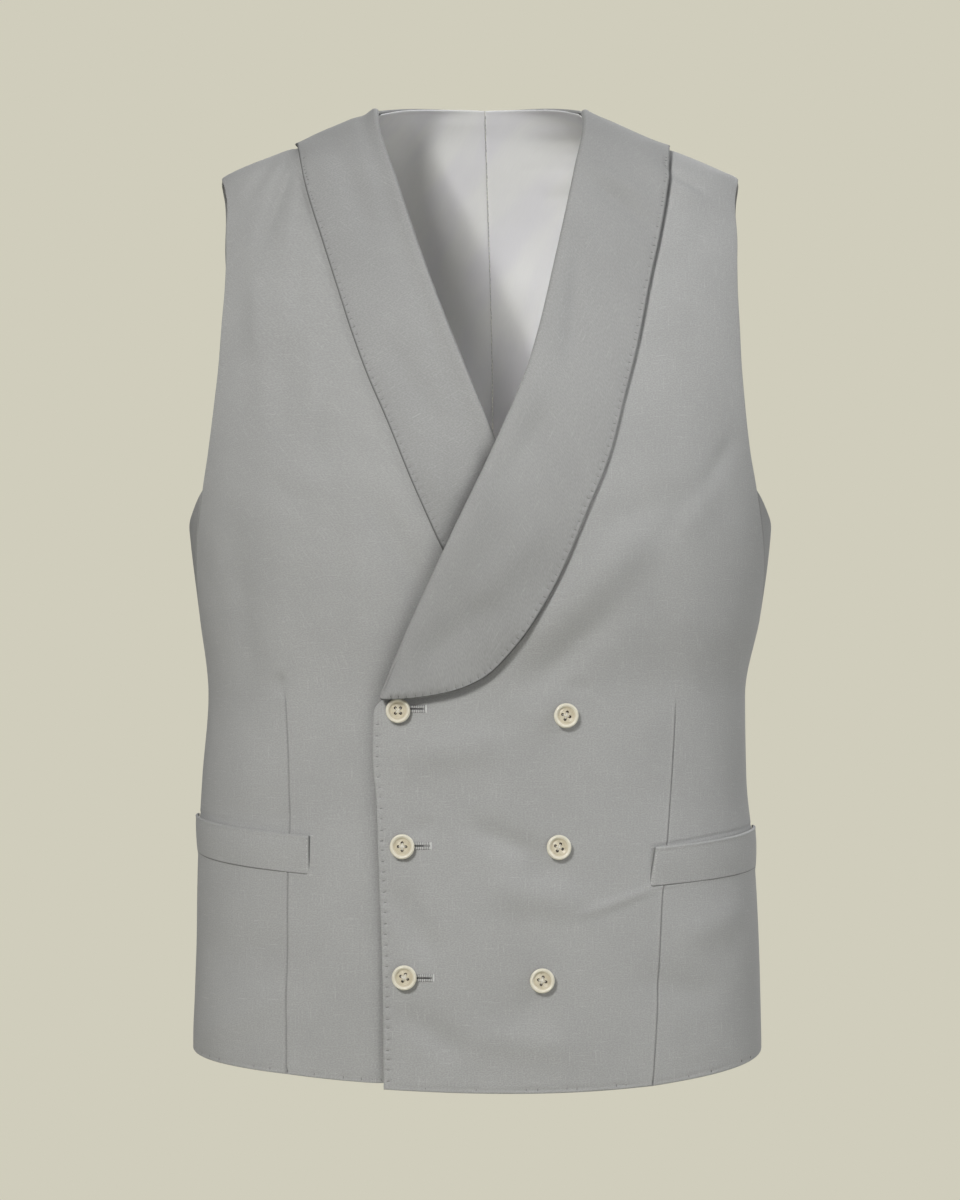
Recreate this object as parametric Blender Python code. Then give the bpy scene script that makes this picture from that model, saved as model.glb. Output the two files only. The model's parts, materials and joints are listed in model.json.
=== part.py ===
"""Double-breasted suit waistcoat with shawl lapels, filled out as if worn.

Metres, +Z up. +X is the wearer's left and -Y the front. The origin is on the centre plane, level with
the shoulder seams at the neck. A place on the cloth is a turn round the body and a height: turn 0 is
centre front, 1 the left side, 2 centre back, and the same with a minus sign on the wearer's right.
Every piece is a wall laid on that form, lifted clear of what it lies on.
"""
import math
from collections import namedtuple
from functools import lru_cache

import bmesh
import bpy
from mathutils import Matrix, Vector

CLOTH_WALL = 0.0020
LAPEL_WALL = 0.0016
WELT_WALL = 0.0015
LINING_WALL = 0.0010
SEAM_GAP = 0.0003
SEAM_FORWARD = 0.0024                      # the shoulder seam lies this far before the ridge
INSIDE = Vector((0.0, 0.0, -0.30))         # outward is away from this point
SAMPLES = 24                               # lengths over the form are summed from this many steps
TURN_STEP = 0.004                          # steps for the form's slope
HEIGHT_STEP = 0.001
SHARP_ANGLE = math.radians(40)             # edges sharper than this are shaded as edges

# ---------------------------------------------------------------- the form
# Rings round the body: half widths on each side, and depths before and behind the centre plane.
Section = namedtuple("Section", "height right left front back")
FORM = (
    Section(0.0100, 0.0400, 0.0400, 0.0220, 0.0600),
    Section(-0.0025, 0.0645, 0.0645, 0.0325, 0.0672),
    Section(-0.0063, 0.0715, 0.0695, 0.0365, 0.0692),
    Section(-0.0140, 0.0886, 0.0864, 0.0440, 0.0728),
    Section(-0.0204, 0.1034, 0.1000, 0.0500, 0.0756),
    Section(-0.0255, 0.1142, 0.1120, 0.0542, 0.0777),
    Section(-0.0307, 0.1284, 0.1276, 0.0585, 0.0799),
    Section(-0.0435, 0.1598, 0.1580, 0.0675, 0.0850),
    Section(-0.0462, 0.1645, 0.1640, 0.0691, 0.0861),
    Section(-0.0520, 0.1690, 0.1695, 0.0725, 0.0883),
    Section(-0.0700, 0.1765, 0.1775, 0.0820, 0.0950),
    Section(-0.1000, 0.1850, 0.1865, 0.0950, 0.1040),
    Section(-0.1500, 0.1895, 0.1897, 0.1090, 0.1140),
    Section(-0.2100, 0.1900, 0.1890, 0.1190, 0.1180),
    Section(-0.2730, 0.1852, 0.1856, 0.1240, 0.1150),
    Section(-0.3250, 0.1790, 0.1790, 0.1210, 0.1060),
    Section(-0.3760, 0.1733, 0.1692, 0.1170, 0.0990),
    Section(-0.4280, 0.1772, 0.1700, 0.1170, 0.0980),
    Section(-0.4800, 0.1800, 0.1752, 0.1190, 0.1030),
    Section(-0.5400, 0.1812, 0.1782, 0.1210, 0.1090),
    Section(-0.6250, 0.1840, 0.1802, 0.1200, 0.1120),
)
FRONT_ROUND = 2.35                         # 2 is an ellipse, more is squarer
BACK_ROUND = 2.40

# Soft folds in the fronts: middle, half length and half width along and across a line leaning by tilt.
Fold = namedtuple("Fold", "side x height half_length half_width tilt rise")
FOLDS = (
    Fold("right", -0.121, -0.300, 0.085, 0.016, 4, 0.0016),
    Fold("right", -0.150, -0.150, 0.080, 0.012, -6, -0.0012),
    Fold("left", 0.128, -0.300, 0.090, 0.018, -5, 0.0016),
    Fold("left", 0.140, -0.085, 0.045, 0.010, 38, -0.0014),
)

# ---------------------------------------------------------------- the cut
# Front edges: down the roll line from the neck, then the button edge to the hem.
Edge = namedtuple("Edge", "height x")
LEFT_EDGE = (
    Edge(-0.0025, 0.0645), Edge(-0.0135, 0.0649), Edge(-0.0450, 0.0589), Edge(-0.0974, 0.0477),
    Edge(-0.1692, 0.0299), Edge(-0.2170, 0.0103), Edge(-0.2865, -0.0228), Edge(-0.3484, -0.0505),
    Edge(-0.3722, -0.0600), Edge(-0.3760, -0.0618), Edge(-0.3860, -0.0648), Edge(-0.4130, -0.0653),
    Edge(-0.4370, -0.0631), Edge(-0.4870, -0.0613), Edge(-0.5240, -0.0598), Edge(-0.5730, -0.0588),
    Edge(-0.6140, -0.0585),
)
RIGHT_EDGE = (
    Edge(-0.0025, -0.0645), Edge(-0.0116, -0.0640), Edge(-0.0543, -0.0515), Edge(-0.1048, -0.0348),
    Edge(-0.1537, -0.0164), Edge(-0.2115, 0.0074), Edge(-0.2380, 0.0180), Edge(-0.3720, 0.0580),
    Edge(-0.6140, 0.0580),
)
# Rows of a front from hem (up 0) to shoulder seam (up 1): front edge, dart line, and the outer edge.
FrontRow = namedtuple("FrontRow", "up edge_height dart_x dart_height")
LEFT_ROWS = (
    FrontRow(0.000, -0.6140, 0.1060, -0.6137), FrontRow(0.080, -0.5730, 0.1088, -0.5705),
    FrontRow(0.200, -0.5050, 0.1120, -0.5020), FrontRow(0.300, -0.4400, 0.1170, -0.4450),
    FrontRow(0.380, -0.3850, 0.1202, -0.3920), FrontRow(0.397, -0.3740, 0.1205, -0.3815),
    FrontRow(0.500, -0.3140, 0.1225, -0.3160), FrontRow(0.600, -0.2480, 0.1250, -0.2500),
    FrontRow(0.700, -0.1800, 0.1255, -0.1850), FrontRow(0.800, -0.1100, 0.1235, -0.1250),
    FrontRow(0.880, -0.0640, 0.1210, -0.0820), FrontRow(0.950, -0.0300, 0.1190, -0.0510),
    FrontRow(0.975, -0.0150, 0.1170, -0.0360), FrontRow(1.000, -0.0025, 0.1145, -0.0256),
)
RIGHT_ROWS = (
    FrontRow(0.000, -0.6110, -0.1192, -0.6070), FrontRow(0.080, -0.5700, -0.1192, -0.5660),
    FrontRow(0.200, -0.5030, -0.1185, -0.5000), FrontRow(0.300, -0.4400, -0.1175, -0.4430),
    FrontRow(0.380, -0.3850, -0.1192, -0.3850), FrontRow(0.397, -0.3740, -0.1196, -0.3755),
    FrontRow(0.500, -0.3140, -0.1225, -0.3160), FrontRow(0.600, -0.2480, -0.1250, -0.2500),
    FrontRow(0.700, -0.1800, -0.1255, -0.1850), FrontRow(0.800, -0.1100, -0.1235, -0.1250),
    FrontRow(0.880, -0.0640, -0.1210, -0.0820), FrontRow(0.950, -0.0300, -0.1190, -0.0510),
    FrontRow(0.975, -0.0150, -0.1170, -0.0360), FrontRow(1.000, -0.0025, -0.1145, -0.0240),
)
HEM_DIP = 0.0024                           # the hem bows down between the front edge and the dart
HEM_DIP_ENDS = 0.12                        # share of the way up where that has gone
ROLL_STARTS = (0.385, 0.396)               # share of the way up where the lapel's roll takes over the edge
DART_FADES = (0.32, 0.38)                  # share of the way up where the dart runs out
DART_DEPTH = 0.0008
DART_HALF = 0.0030

# Outer edge of a front: the side seam to the underarm, then the armhole to the shoulder point.
Turn = namedtuple("Turn", "up turn height")
UNDERARM_UP = 0.60
FRONT_SIDE = (
    Turn(0.00, 1.000, -0.6000), Turn(0.10, 1.008, -0.5450), Turn(0.20, 1.015, -0.4900),
    Turn(0.30, 1.020, -0.4300), Turn(0.40, 1.010, -0.3720), Turn(0.47, 0.960, -0.3330),
    Turn(0.53, 0.860, -0.2950), Turn(0.58, 0.765, -0.2600), Turn(0.60, 0.734, -0.2468),
    Turn(0.65, 0.683, -0.2220), Turn(0.70, 0.655, -0.1960), Turn(0.76, 0.633, -0.1630),
    Turn(0.82, 0.626, -0.1300), Turn(0.87, 0.638, -0.1030), Turn(0.91, 0.675, -0.0810),
    Turn(0.945, 0.733, -0.0620), Turn(0.97, 0.800, -0.0535), Turn(0.985, 0.865, -0.0495),
    Turn(1.00, 0.985, -0.0462),
)
# The back below the underarm: centre-back seam and a middle line. Above it: the seam and a line that
# ends at the neck point.
BackRow = namedtuple("BackRow", "up centre_height turn height")
BACK_BELOW = (
    BackRow(0.00, -0.5980, 1.300, -0.5985), BackRow(0.20, -0.4880, 1.290, -0.4890),
    BackRow(0.40, -0.3720, 1.270, -0.3720), BackRow(0.52, -0.3100, 1.220, -0.3060),
    BackRow(0.60, -0.2700, 1.170, -0.2655),
)
BACK_ABOVE = (
    BackRow(0.60, -0.2700, 1.550, -0.2690), BackRow(0.70, -0.1960, 1.540, -0.1960),
    BackRow(0.80, -0.1200, 1.530, -0.1200), BackRow(0.88, -0.0680, 1.520, -0.0690),
    BackRow(0.94, -0.0290, 1.460, -0.0350), BackRow(0.97, -0.0100, 1.360, -0.0190),
    BackRow(0.985, -0.0020, 1.220, -0.0105), BackRow(1.00, 0.0053, 0.985, -0.0022),
)
BACK_ARMHOLE = (
    Turn(0.60, 1.170, -0.2655), Turn(0.66, 1.255, -0.2380), Turn(0.72, 1.300, -0.2050),
    Turn(0.79, 1.325, -0.1600), Turn(0.86, 1.325, -0.1150), Turn(0.92, 1.270, -0.0800),
    Turn(0.96, 1.200, -0.0600), Turn(0.98, 1.120, -0.0520), Turn(1.00, 0.985, -0.0462),
)
# The centre-back seam leans a little to the wearer's left.
CENTRE_SEAM = (Edge(0.0060, 0.0033), Edge(-0.2000, 0.0085), Edge(-0.6000, 0.0040))
NECK_BOW = 0.0036                          # the back neck edge bows up between its seam and the neck point
NECK_BOW_FROM = 0.93
# How far the back's edge drops under the arm, between the middle line and the side seam.
Dip = namedtuple("Dip", "share drop")
UNDERARM_DIP = (Dip(0.0, 0.0), Dip(0.18, 0.0100), Dip(0.40, 0.0142), Dip(0.75, 0.0095), Dip(1.0, 0.0))
UNDERARM_DIP_FROM = 0.40                   # share of the way up where the dip starts to show

# The over front stands off the under front, and settles onto the form past the overlap.
Lift = namedtuple("Lift", "height lift")
OVERLAP_LIFT = (
    Lift(-0.6200, 0.0027), Lift(-0.4000, 0.0027), Lift(-0.3600, 0.0034), Lift(-0.3250, 0.0048),
    Lift(-0.2050, 0.0048), Lift(-0.1300, 0.0012), Lift(-0.0700, 0.0), Lift(0.0, 0.0),
)
OVERLAP_SETTLES = (0.064, 0.125)           # x where it starts and ends

# Lapels: rows from the lower end to the shoulder seam, roll line height, and outer edge.
LapelRow = namedtuple("LapelRow", "up roll_height edge_x edge_height stand")
LEFT_LAPEL = (
    LapelRow(0.00, -0.3728, -0.0560, -0.3752, 0.0004), LapelRow(0.05, -0.3650, -0.0400, -0.3747, 0.0026),
    LapelRow(0.11, -0.3530, -0.0180, -0.3712, 0.0058), LapelRow(0.18, -0.3330, 0.0020, -0.3627, 0.0070),
    LapelRow(0.26, -0.3090, 0.0240, -0.3400, 0.0056), LapelRow(0.35, -0.2760, 0.0458, -0.3045, 0.0034),
    LapelRow(0.45, -0.2410, 0.0642, -0.2620, 0.0018), LapelRow(0.55, -0.2090, 0.0780, -0.2280, 0.0010),
    LapelRow(0.65, -0.1750, 0.0875, -0.1920, 0.0006), LapelRow(0.75, -0.1340, 0.0968, -0.1560, 0.0004),
    LapelRow(0.84, -0.0950, 0.1049, -0.1170, 0.0004), LapelRow(0.91, -0.0590, 0.1124, -0.0830, 0.0006),
    LapelRow(0.965, -0.0270, 0.1170, -0.0540, 0.0010), LapelRow(1.00, -0.0025, 0.1195, -0.0275, 0.0004),
)
RIGHT_LAPEL = (
    LapelRow(0.00, -0.2380, -0.0120, -0.3090, 0.0), LapelRow(0.12, -0.2150, -0.0275, -0.2750, 0.0),
    LapelRow(0.25, -0.1860, -0.0430, -0.2400, 0.0003), LapelRow(0.38, -0.1600, -0.0568, -0.2060, 0.0004),
    LapelRow(0.50, -0.1370, -0.0685, -0.1790, 0.0004), LapelRow(0.62, -0.1120, -0.0788, -0.1510, 0.0004),
    LapelRow(0.73, -0.0870, -0.0879, -0.1230, 0.0004), LapelRow(0.84, -0.0620, -0.0979, -0.0920, 0.0004),
    LapelRow(0.95, -0.0330, -0.1068, -0.0640, 0.0006), LapelRow(1.00, -0.0025, -0.1160, -0.0260, 0.0003),
)
LAPEL_GAP = 0.0005                         # under the lapel where it lies flat
SHOULDER_LIFT = 0.0003                     # more than that over the shoulder, where the roll is pressed flat
SHOULDER_FROM = (-0.085, -0.030)
ROLL_RISE = 0.0003                         # the turned edge above the flat lapel
ROLL_RADIUS = 0.00235                      # outside of the turned edge, beyond the front's own edge
ROLL_SWELL = 0.0013                        # how far the soft roll stands above the flat lapel
ROLL_SWELL_AT = 0.0080
ROLL_SWELL_WIDTH = 0.0110
CROSSING_CLEAR = 0.016                     # the under lapel lies flat this far round the crossing

WELT_GAP = 0.0004
# Welts: the front end and the side end, top and bottom.
Welt = namedtuple("Welt", "name side top_x top bottom_x bottom end_turn end_top end_bottom")
WELTS = (
    Welt("welt_right", -1, 0.1042, -0.4602, 0.1044, -0.4842, 0.965, -0.4512, -0.4748),
    Welt("welt_left", 1, 0.1066, -0.4674, 0.1032, -0.4916, 0.965, -0.4588, -0.4846),
)

# Buttons: two columns of three, with the turn of their holes in degrees.
Button = namedtuple("Button", "name x height spin")
BUTTONS = (
    Button("button_1", -0.0493, -0.3829, 0), Button("button_2", -0.0469, -0.4660, 45),
    Button("button_3", -0.0456, -0.5453, 22), Button("button_4", 0.0518, -0.3860, 28),
    Button("button_5", 0.0475, -0.4665, 20), Button("button_6", 0.0374, -0.5471, 30),
)
BUTTON_RADIUS = 0.0076
BUTTON_LIFT = 0.0006
BUTTON_SIDES = 20
HOLE_RADIUS = 0.0009
HOLE_PITCH = 0.0033
HOLE_SIDES = 8
Ring = namedtuple("Ring", "radius height")
BUTTON_PROFILE = (
    Ring(0.0044, 0.0000), Ring(0.0068, 0.0007), Ring(0.0076, 0.0017), Ring(0.0074, 0.0027),
    Ring(0.0067, 0.0032), Ring(0.0060, 0.0030), Ring(0.0050, 0.0023), Ring(0.0036, 0.0021),
)

# How finely each panel is divided.
ROWS_BELOW = tuple(i / 25 for i in range(10)) + (0.385, 0.397) + tuple(i / 25 for i in range(11, 16))
SHOULDER_ROWS = (0.93, 0.95, 0.965, 0.975, 0.983, 0.9895, 0.9945, 0.998, 1.0)
ROWS_ABOVE = (0.64, 0.68, 0.72, 0.76, 0.80, 0.84, 0.88, 0.91) + SHOULDER_ROWS
EDGE_TO_DART = 7
DART_TO_SIDE = 6
CENTRE_TO_MIDDLE = 10
MIDDLE_TO_SIDE = 4
NECK_TO_ARMHOLE = 4
LAPEL_ROWS = (0, 0.04, 0.08, 0.12, 0.17, 0.22, 0.28, 0.35, 0.42, 0.50, 0.58, 0.66, 0.74, 0.82, 0.88)
LAPEL_ROWS += SHOULDER_ROWS
LAPEL_COLUMNS = (0.0060, 0.0120, 0.0200)   # distances from the roll line before the even ones
LAPEL_EVEN = 4
WELT_COLUMNS = 8
WELT_ROWS = 2
LINING_BELOW = (0.012,) + ROWS_BELOW[2:-1:2] + (0.585,)
LINING_ABOVE = ROWS_ABOVE[1:6:2] + ROWS_ABOVE[6:]
LINING_EDGE = 0.0090                       # how far the lining stops short of the armhole
LINING_GAP = 0.0014                        # it hangs a little free of the back
LINING_NECK_GAP = 0.0005                   # and is drawn up to it round the neck
LINING_NECK_FROM = (-0.035, -0.008)
LINING_DROOP = 0.0014                      # under the shoulder it hangs lower
LINING_DROOP_FROM = (-0.090, -0.050)
LINING_DROOP_ACROSS = (0.100, 0.130)


# ---------------------------------------------------------------- tables read as smooth curves
@lru_cache(maxsize=None)
def curve_of(rows, across, column):
    """Sorted points and slopes of one column, so that the curve never overshoots its rows."""
    points = sorted((getattr(row, across), getattr(row, column)) for row in rows)
    places = [p[0] for p in points]
    values = [p[1] for p in points]
    steps = [places[i + 1] - places[i] for i in range(len(places) - 1)]
    slopes = [(values[i + 1] - values[i]) / steps[i] for i in range(len(steps))]
    tangents = [slopes[0]]
    for i in range(1, len(slopes)):
        before, after = slopes[i - 1], slopes[i]
        if before * after <= 0:
            tangents.append(0.0)
            continue
        weight_before = 2 * steps[i] + steps[i - 1]
        weight_after = steps[i] + 2 * steps[i - 1]
        tangents.append((weight_before + weight_after) / (weight_before / before + weight_after / after))
    tangents.append(slopes[-1])
    return places, values, tangents


def read(rows, across, place, column):
    places, values, tangents = curve_of(rows, across, column)
    place = min(max(place, places[0]), places[-1])
    i = 0
    while i < len(places) - 2 and places[i + 1] < place:
        i += 1
    step = places[i + 1] - places[i]
    f = (place - places[i]) / step
    start = values[i] * (1 + 2 * f) + step * tangents[i] * f
    end = values[i + 1] * (3 - 2 * f) - step * tangents[i + 1] * (1 - f)
    return start * (1 - f) ** 2 + end * f * f


def ease(low, high, value):
    """0 below low, 1 above high, smooth between."""
    f = min(max((value - low) / (high - low), 0.0), 1.0)
    return f * f * (3 - 2 * f)


# ---------------------------------------------------------------- places on the form
def form_point(turn, height):
    if abs(turn) > 2:
        turn -= math.copysign(4, turn)
    width = read(FORM, "height", height, "left" if turn >= 0 else "right")
    in_front = abs(turn) <= 1
    depth = read(FORM, "height", height, "front" if in_front else "back")
    power = 2 / (FRONT_ROUND if in_front else BACK_ROUND)
    angle = abs(turn) * math.pi / 2
    x = math.copysign(width * max(math.sin(angle), 0.0) ** power, turn)
    y = depth * abs(math.cos(angle)) ** power
    return Vector((x, -y if in_front else y, height))


def form_normal(turn, height):
    around = form_point(turn + TURN_STEP, height) - form_point(turn - TURN_STEP, height)
    upward = form_point(turn, height + HEIGHT_STEP) - form_point(turn, height - HEIGHT_STEP)
    normal = around.cross(upward).normalized()
    outward = form_point(turn, height) - INSIDE
    return normal if normal.dot(outward) > 0 else -normal


def seam_turn(height, forward):
    """The turn that lies this far before the side of the form, on the front half."""
    depth = read(FORM, "height", height, "front")
    return 1 - math.asin((forward / depth) ** (FRONT_ROUND / 2)) * 2 / math.pi


def turn_at(x, height):
    """The turn, on the front half, where the form has this x at this height."""
    width = read(FORM, "height", height, "left" if x >= 0 else "right")
    share = min(abs(x) / width, 1.0) ** (FRONT_ROUND / 2)
    turn = min(math.asin(share) * 2 / math.pi, seam_turn(height, SEAM_FORWARD))
    return math.copysign(turn, x)


def sampled(start, end):
    """Places evenly from one place to another."""
    return [tuple(a + (b - a) * i / SAMPLES for a, b in zip(start, end)) for i in range(SAMPLES + 1)]


def row_places(anchors, stops):
    """Places along a row through its anchors. A stop is (stretch, share, metres past that share)."""
    spans = []
    for start, end in zip(anchors, anchors[1:]):
        samples = sampled(start, end)
        reach = [0.0]
        for first, second in zip(samples, samples[1:]):
            reach.append(reach[-1] + (form_point(*second) - form_point(*first)).length)
        spans.append((samples, reach))
    places = []
    for stretch, share, past in stops:
        samples, reach = spans[stretch]
        wanted = min(max(share * reach[-1] + past, 0.0), reach[-1])
        i = 0
        while i < len(reach) - 2 and reach[i + 1] < wanted:
            i += 1
        f = (wanted - reach[i]) / max(reach[i + 1] - reach[i], 1e-9)
        places.append(tuple(a + (b - a) * f for a, b in zip(samples[i], samples[i + 1])))
    return places


def along_seam(places, forward):
    """The same places, moved onto the shoulder seam."""
    return [(math.copysign(seam_turn(height, forward), turn), height) for turn, height in places]


def row_length(row):
    """Length over the form from one place to another."""
    points = [form_point(*place) for place in sampled(*row)]
    return sum((second - first).length for first, second in zip(points, points[1:]))


# ---------------------------------------------------------------- lifts off the form
def fold_lift(side, point):
    lift = 0.0
    for fold in FOLDS:
        if fold.side != side:
            continue
        lean = math.radians(fold.tilt)
        dx, dz = point.x - fold.x, point.z - fold.height
        along = dz * math.cos(lean) + dx * math.sin(lean)
        across = dx * math.cos(lean) - dz * math.sin(lean)
        length_fade = math.exp(-(along / fold.half_length) ** 4)
        lift += fold.rise * length_fade * math.exp(-(across / fold.half_width) ** 2)
    return lift


def front_lift(side, turn, height):
    """Outer face of a front above the form."""
    point = form_point(turn, height)
    if side == "right":
        return fold_lift(side, point)
    overlap = 1 - ease(*OVERLAP_SETTLES, point.x)
    return read(OVERLAP_LIFT, "height", height, "lift") * overlap + fold_lift(side, point)


def lifted(turn, height, lift):
    return form_point(turn, height) + form_normal(turn, height) * lift


# ---------------------------------------------------------------- walls
def make_material(name, colour, roughness):
    material = bpy.data.materials.new(name)
    material.use_nodes = True
    shader = material.node_tree.nodes["Principled BSDF"]
    shader.inputs["Base Color"].default_value = (*colour, 1.0)
    shader.inputs["Roughness"].default_value = roughness
    shader.inputs["Metallic"].default_value = 0.0
    return material


def add_object(name, mesh, material):
    mesh.materials.append(material)
    mesh.shade_smooth()
    mesh.set_sharp_from_angle(angle=SHARP_ANGLE)
    obj = bpy.data.objects.new(name, mesh)
    bpy.context.collection.objects.link(obj)
    return obj


def wall_object(name, patches, material):
    """One closed wall from patches of rows of (key, outer point, inner point). Equal keys are one point."""
    builder = bmesh.new()
    outer, inner = {}, {}
    for patch in patches:
        for row in patch:
            for key, outside, inside in row:
                if key not in outer:
                    outer[key] = builder.verts.new(outside)
                    inner[key] = builder.verts.new(inside)
    edges = {}
    for patch in patches:
        for low, high in zip(patch, patch[1:]):
            for i in range(len(low) - 1):
                keys = [low[i][0], low[i + 1][0], high[i + 1][0], high[i][0]]
                keys = [k for j, k in enumerate(keys) if k != keys[j - 1]]
                if len(keys) < 3:
                    continue
                builder.faces.new([outer[k] for k in keys])
                builder.faces.new([inner[k] for k in reversed(keys)])
                for start, end in zip(keys, keys[1:] + keys[:1]):
                    edges[(start, end)] = True
    for start, end in edges:
        if (end, start) not in edges:
            builder.faces.new([outer[end], outer[start], inner[start], inner[end]])
    bmesh.ops.recalc_face_normals(builder, faces=builder.faces)
    mesh = bpy.data.meshes.new(name)
    builder.to_mesh(mesh)
    builder.free()
    add_object(name, mesh, material)


def key_of(turn, height):
    return (round(turn, 6), round(height, 6))


def panel_point(turn, height, lift, wall):
    base, normal = form_point(turn, height), form_normal(turn, height)
    return key_of(turn, height), base + normal * lift, base + normal * (lift - wall)


# ---------------------------------------------------------------- the fronts
def front_stops(inset):
    """Columns of a front: from its edge to the dart, the dart's crease, and on to the side."""
    stops = [(0, i / EDGE_TO_DART, inset * (1 - i / EDGE_TO_DART)) for i in range(EDGE_TO_DART)]
    stops += [(0, 1.0, -DART_HALF), (0, 1.0, 0.0), (1, 0.0, DART_HALF)]
    stops += [(1, i / DART_TO_SIDE, 0.0) for i in range(1, DART_TO_SIDE)]
    return stops + [(1, 1.0, -SEAM_GAP / 2)]


def front_anchors(side, up):
    """Front edge, dart line and outer edge of one row."""
    sign = 1 if side == "left" else -1
    rows = LEFT_ROWS if side == "left" else RIGHT_ROWS
    edges = LEFT_EDGE if side == "left" else RIGHT_EDGE
    edge_height = read(rows, "up", up, "edge_height")
    edge_x = read(edges, "height", edge_height, "x")
    dart_height = read(rows, "up", up, "dart_height")
    edge = (turn_at(edge_x, edge_height), edge_height)
    dart = (turn_at(read(rows, "up", up, "dart_x"), dart_height), dart_height)
    outer = (sign * read(FRONT_SIDE, "up", up, "turn"), read(FRONT_SIDE, "up", up, "height"))
    return edge, dart, outer


def make_front(side, material):
    rows = []
    dart_column = EDGE_TO_DART + 1
    for up in ROWS_BELOW + ROWS_ABOVE:
        anchors = front_anchors(side, up)
        edges = LEFT_EDGE if side == "left" else RIGHT_EDGE
        inset = (ROLL_RADIUS + 2 * SEAM_GAP) * across_roll(edges, anchors[0][1], anchors[:2])
        places = row_places(anchors, front_stops(inset * ease(*ROLL_STARTS, up)))
        if up == 1.0:
            places = along_seam(places, SEAM_FORWARD)
        bow = HEM_DIP * (1 - ease(0.0, HEM_DIP_ENDS, up))
        row = []
        for column, (turn, height) in enumerate(places):
            height -= bow * math.sin(math.pi * min(column / dart_column, 1.0))
            lift = front_lift(side, turn, height)
            if column == dart_column:
                lift -= DART_DEPTH * (1 - ease(*DART_FADES, up))
            row.append(panel_point(turn, height, lift, CLOTH_WALL))
        rows.append(row)
    wall_object("front_" + side, [rows], material)


# ---------------------------------------------------------------- the backs
def back_anchors(sign, up, rows, edge):
    """Centre-back seam, middle line and outer edge of one row."""
    height = read(rows, "up", up, "centre_height")
    share = read(CENTRE_SEAM, "height", height, "x") / read(FORM, "height", height, "left")
    centre = (sign * 2.0 - math.asin(share ** (BACK_ROUND / 2)) * 2 / math.pi, height)
    middle = (sign * read(rows, "up", up, "turn"), read(rows, "up", up, "height"))
    outer = (sign * read(edge, "up", up, "turn"), read(edge, "up", up, "height"))
    return centre, middle, outer


def back_stops(to_middle, to_edge, margin):
    stops = [(0, 0.0, SEAM_GAP / 2)]
    stops += [(0, i / to_middle, 0.0) for i in range(1, to_middle + 1)]
    stops += [(1, i / to_edge, 0.0) for i in range(1, to_edge)]
    return stops + [(1, 1.0, -margin)]


def dipped(places, up):
    """Drops the places past the middle line, so that the top row is the armhole's lower edge."""
    show = ease(UNDERARM_DIP_FROM, UNDERARM_UP, up)
    lowered = places[:CENTRE_TO_MIDDLE]
    for i, (turn, height) in enumerate(places[CENTRE_TO_MIDDLE:]):
        lowered.append((turn, height - show * read(UNDERARM_DIP, "share", i / MIDDLE_TO_SIDE, "drop")))
    return lowered


def back_patches(sign, rows_below, rows_above, lift, wall, margin):
    """The patch under the arm runs to the side seam, the one above it only to the armhole."""
    below = []
    for up in rows_below:
        anchors = back_anchors(sign, up, BACK_BELOW, FRONT_SIDE)
        below.append(dipped(row_places(anchors, back_stops(CENTRE_TO_MIDDLE, MIDDLE_TO_SIDE, margin)), up))
    above = [below[-1][:CENTRE_TO_MIDDLE + 1]]
    to_neck = CENTRE_TO_MIDDLE - NECK_TO_ARMHOLE
    for up in rows_above:
        anchors = back_anchors(sign, up, BACK_ABOVE, BACK_ARMHOLE)
        places = row_places(anchors, back_stops(to_neck, NECK_TO_ARMHOLE, margin))
        bow = NECK_BOW * ease(NECK_BOW_FROM, 1.0, up)
        for i, (turn, height) in enumerate(places[:to_neck]):
            places[i] = (turn, height + bow * math.sin(math.pi * i / to_neck))
        if up == 1.0:
            places[to_neck:] = along_seam(places[to_neck:], SEAM_FORWARD - SEAM_GAP)
        above.append(places)
    return [[[panel_point(turn, height, lift(turn, height), wall) for turn, height in row] for row in patch]
            for patch in (below, above)]


def make_back(side, material):
    sign = 1 if side == "left" else -1
    patches = back_patches(sign, ROWS_BELOW, ROWS_ABOVE, lambda turn, height: 0.0, CLOTH_WALL, SEAM_GAP / 2)
    wall_object("back_" + side, patches, material)


def lining_lift(turn, height):
    outward = ease(*LINING_DROOP_ACROSS, abs(form_point(turn, height).x))
    droop = LINING_DROOP * ease(*LINING_DROOP_FROM, height) * outward
    neck = ease(*LINING_NECK_FROM, height) * (1 - outward)
    return -CLOTH_WALL - droop - LINING_GAP + (LINING_GAP - LINING_NECK_GAP) * neck


def make_back_lining(side, material):
    sign = 1 if side == "left" else -1
    patches = back_patches(sign, LINING_BELOW, LINING_ABOVE, lining_lift, LINING_WALL, LINING_EDGE)
    wall_object("back_lining_" + side, patches, material)


# ---------------------------------------------------------------- the lapels
def across_roll(edges, height, row):
    """How far a row runs for each metre straight away from the roll line."""
    heights = (height - 2 * HEIGHT_STEP, height)
    low, high = (form_point(turn_at(read(edges, "height", z, "x"), z), z) for z in heights)
    along = (high - low).normalized()
    start, end = (form_point(*place) for place in row)
    return 1 / max(along.cross((end - start).normalized()).length, 0.5)


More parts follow.
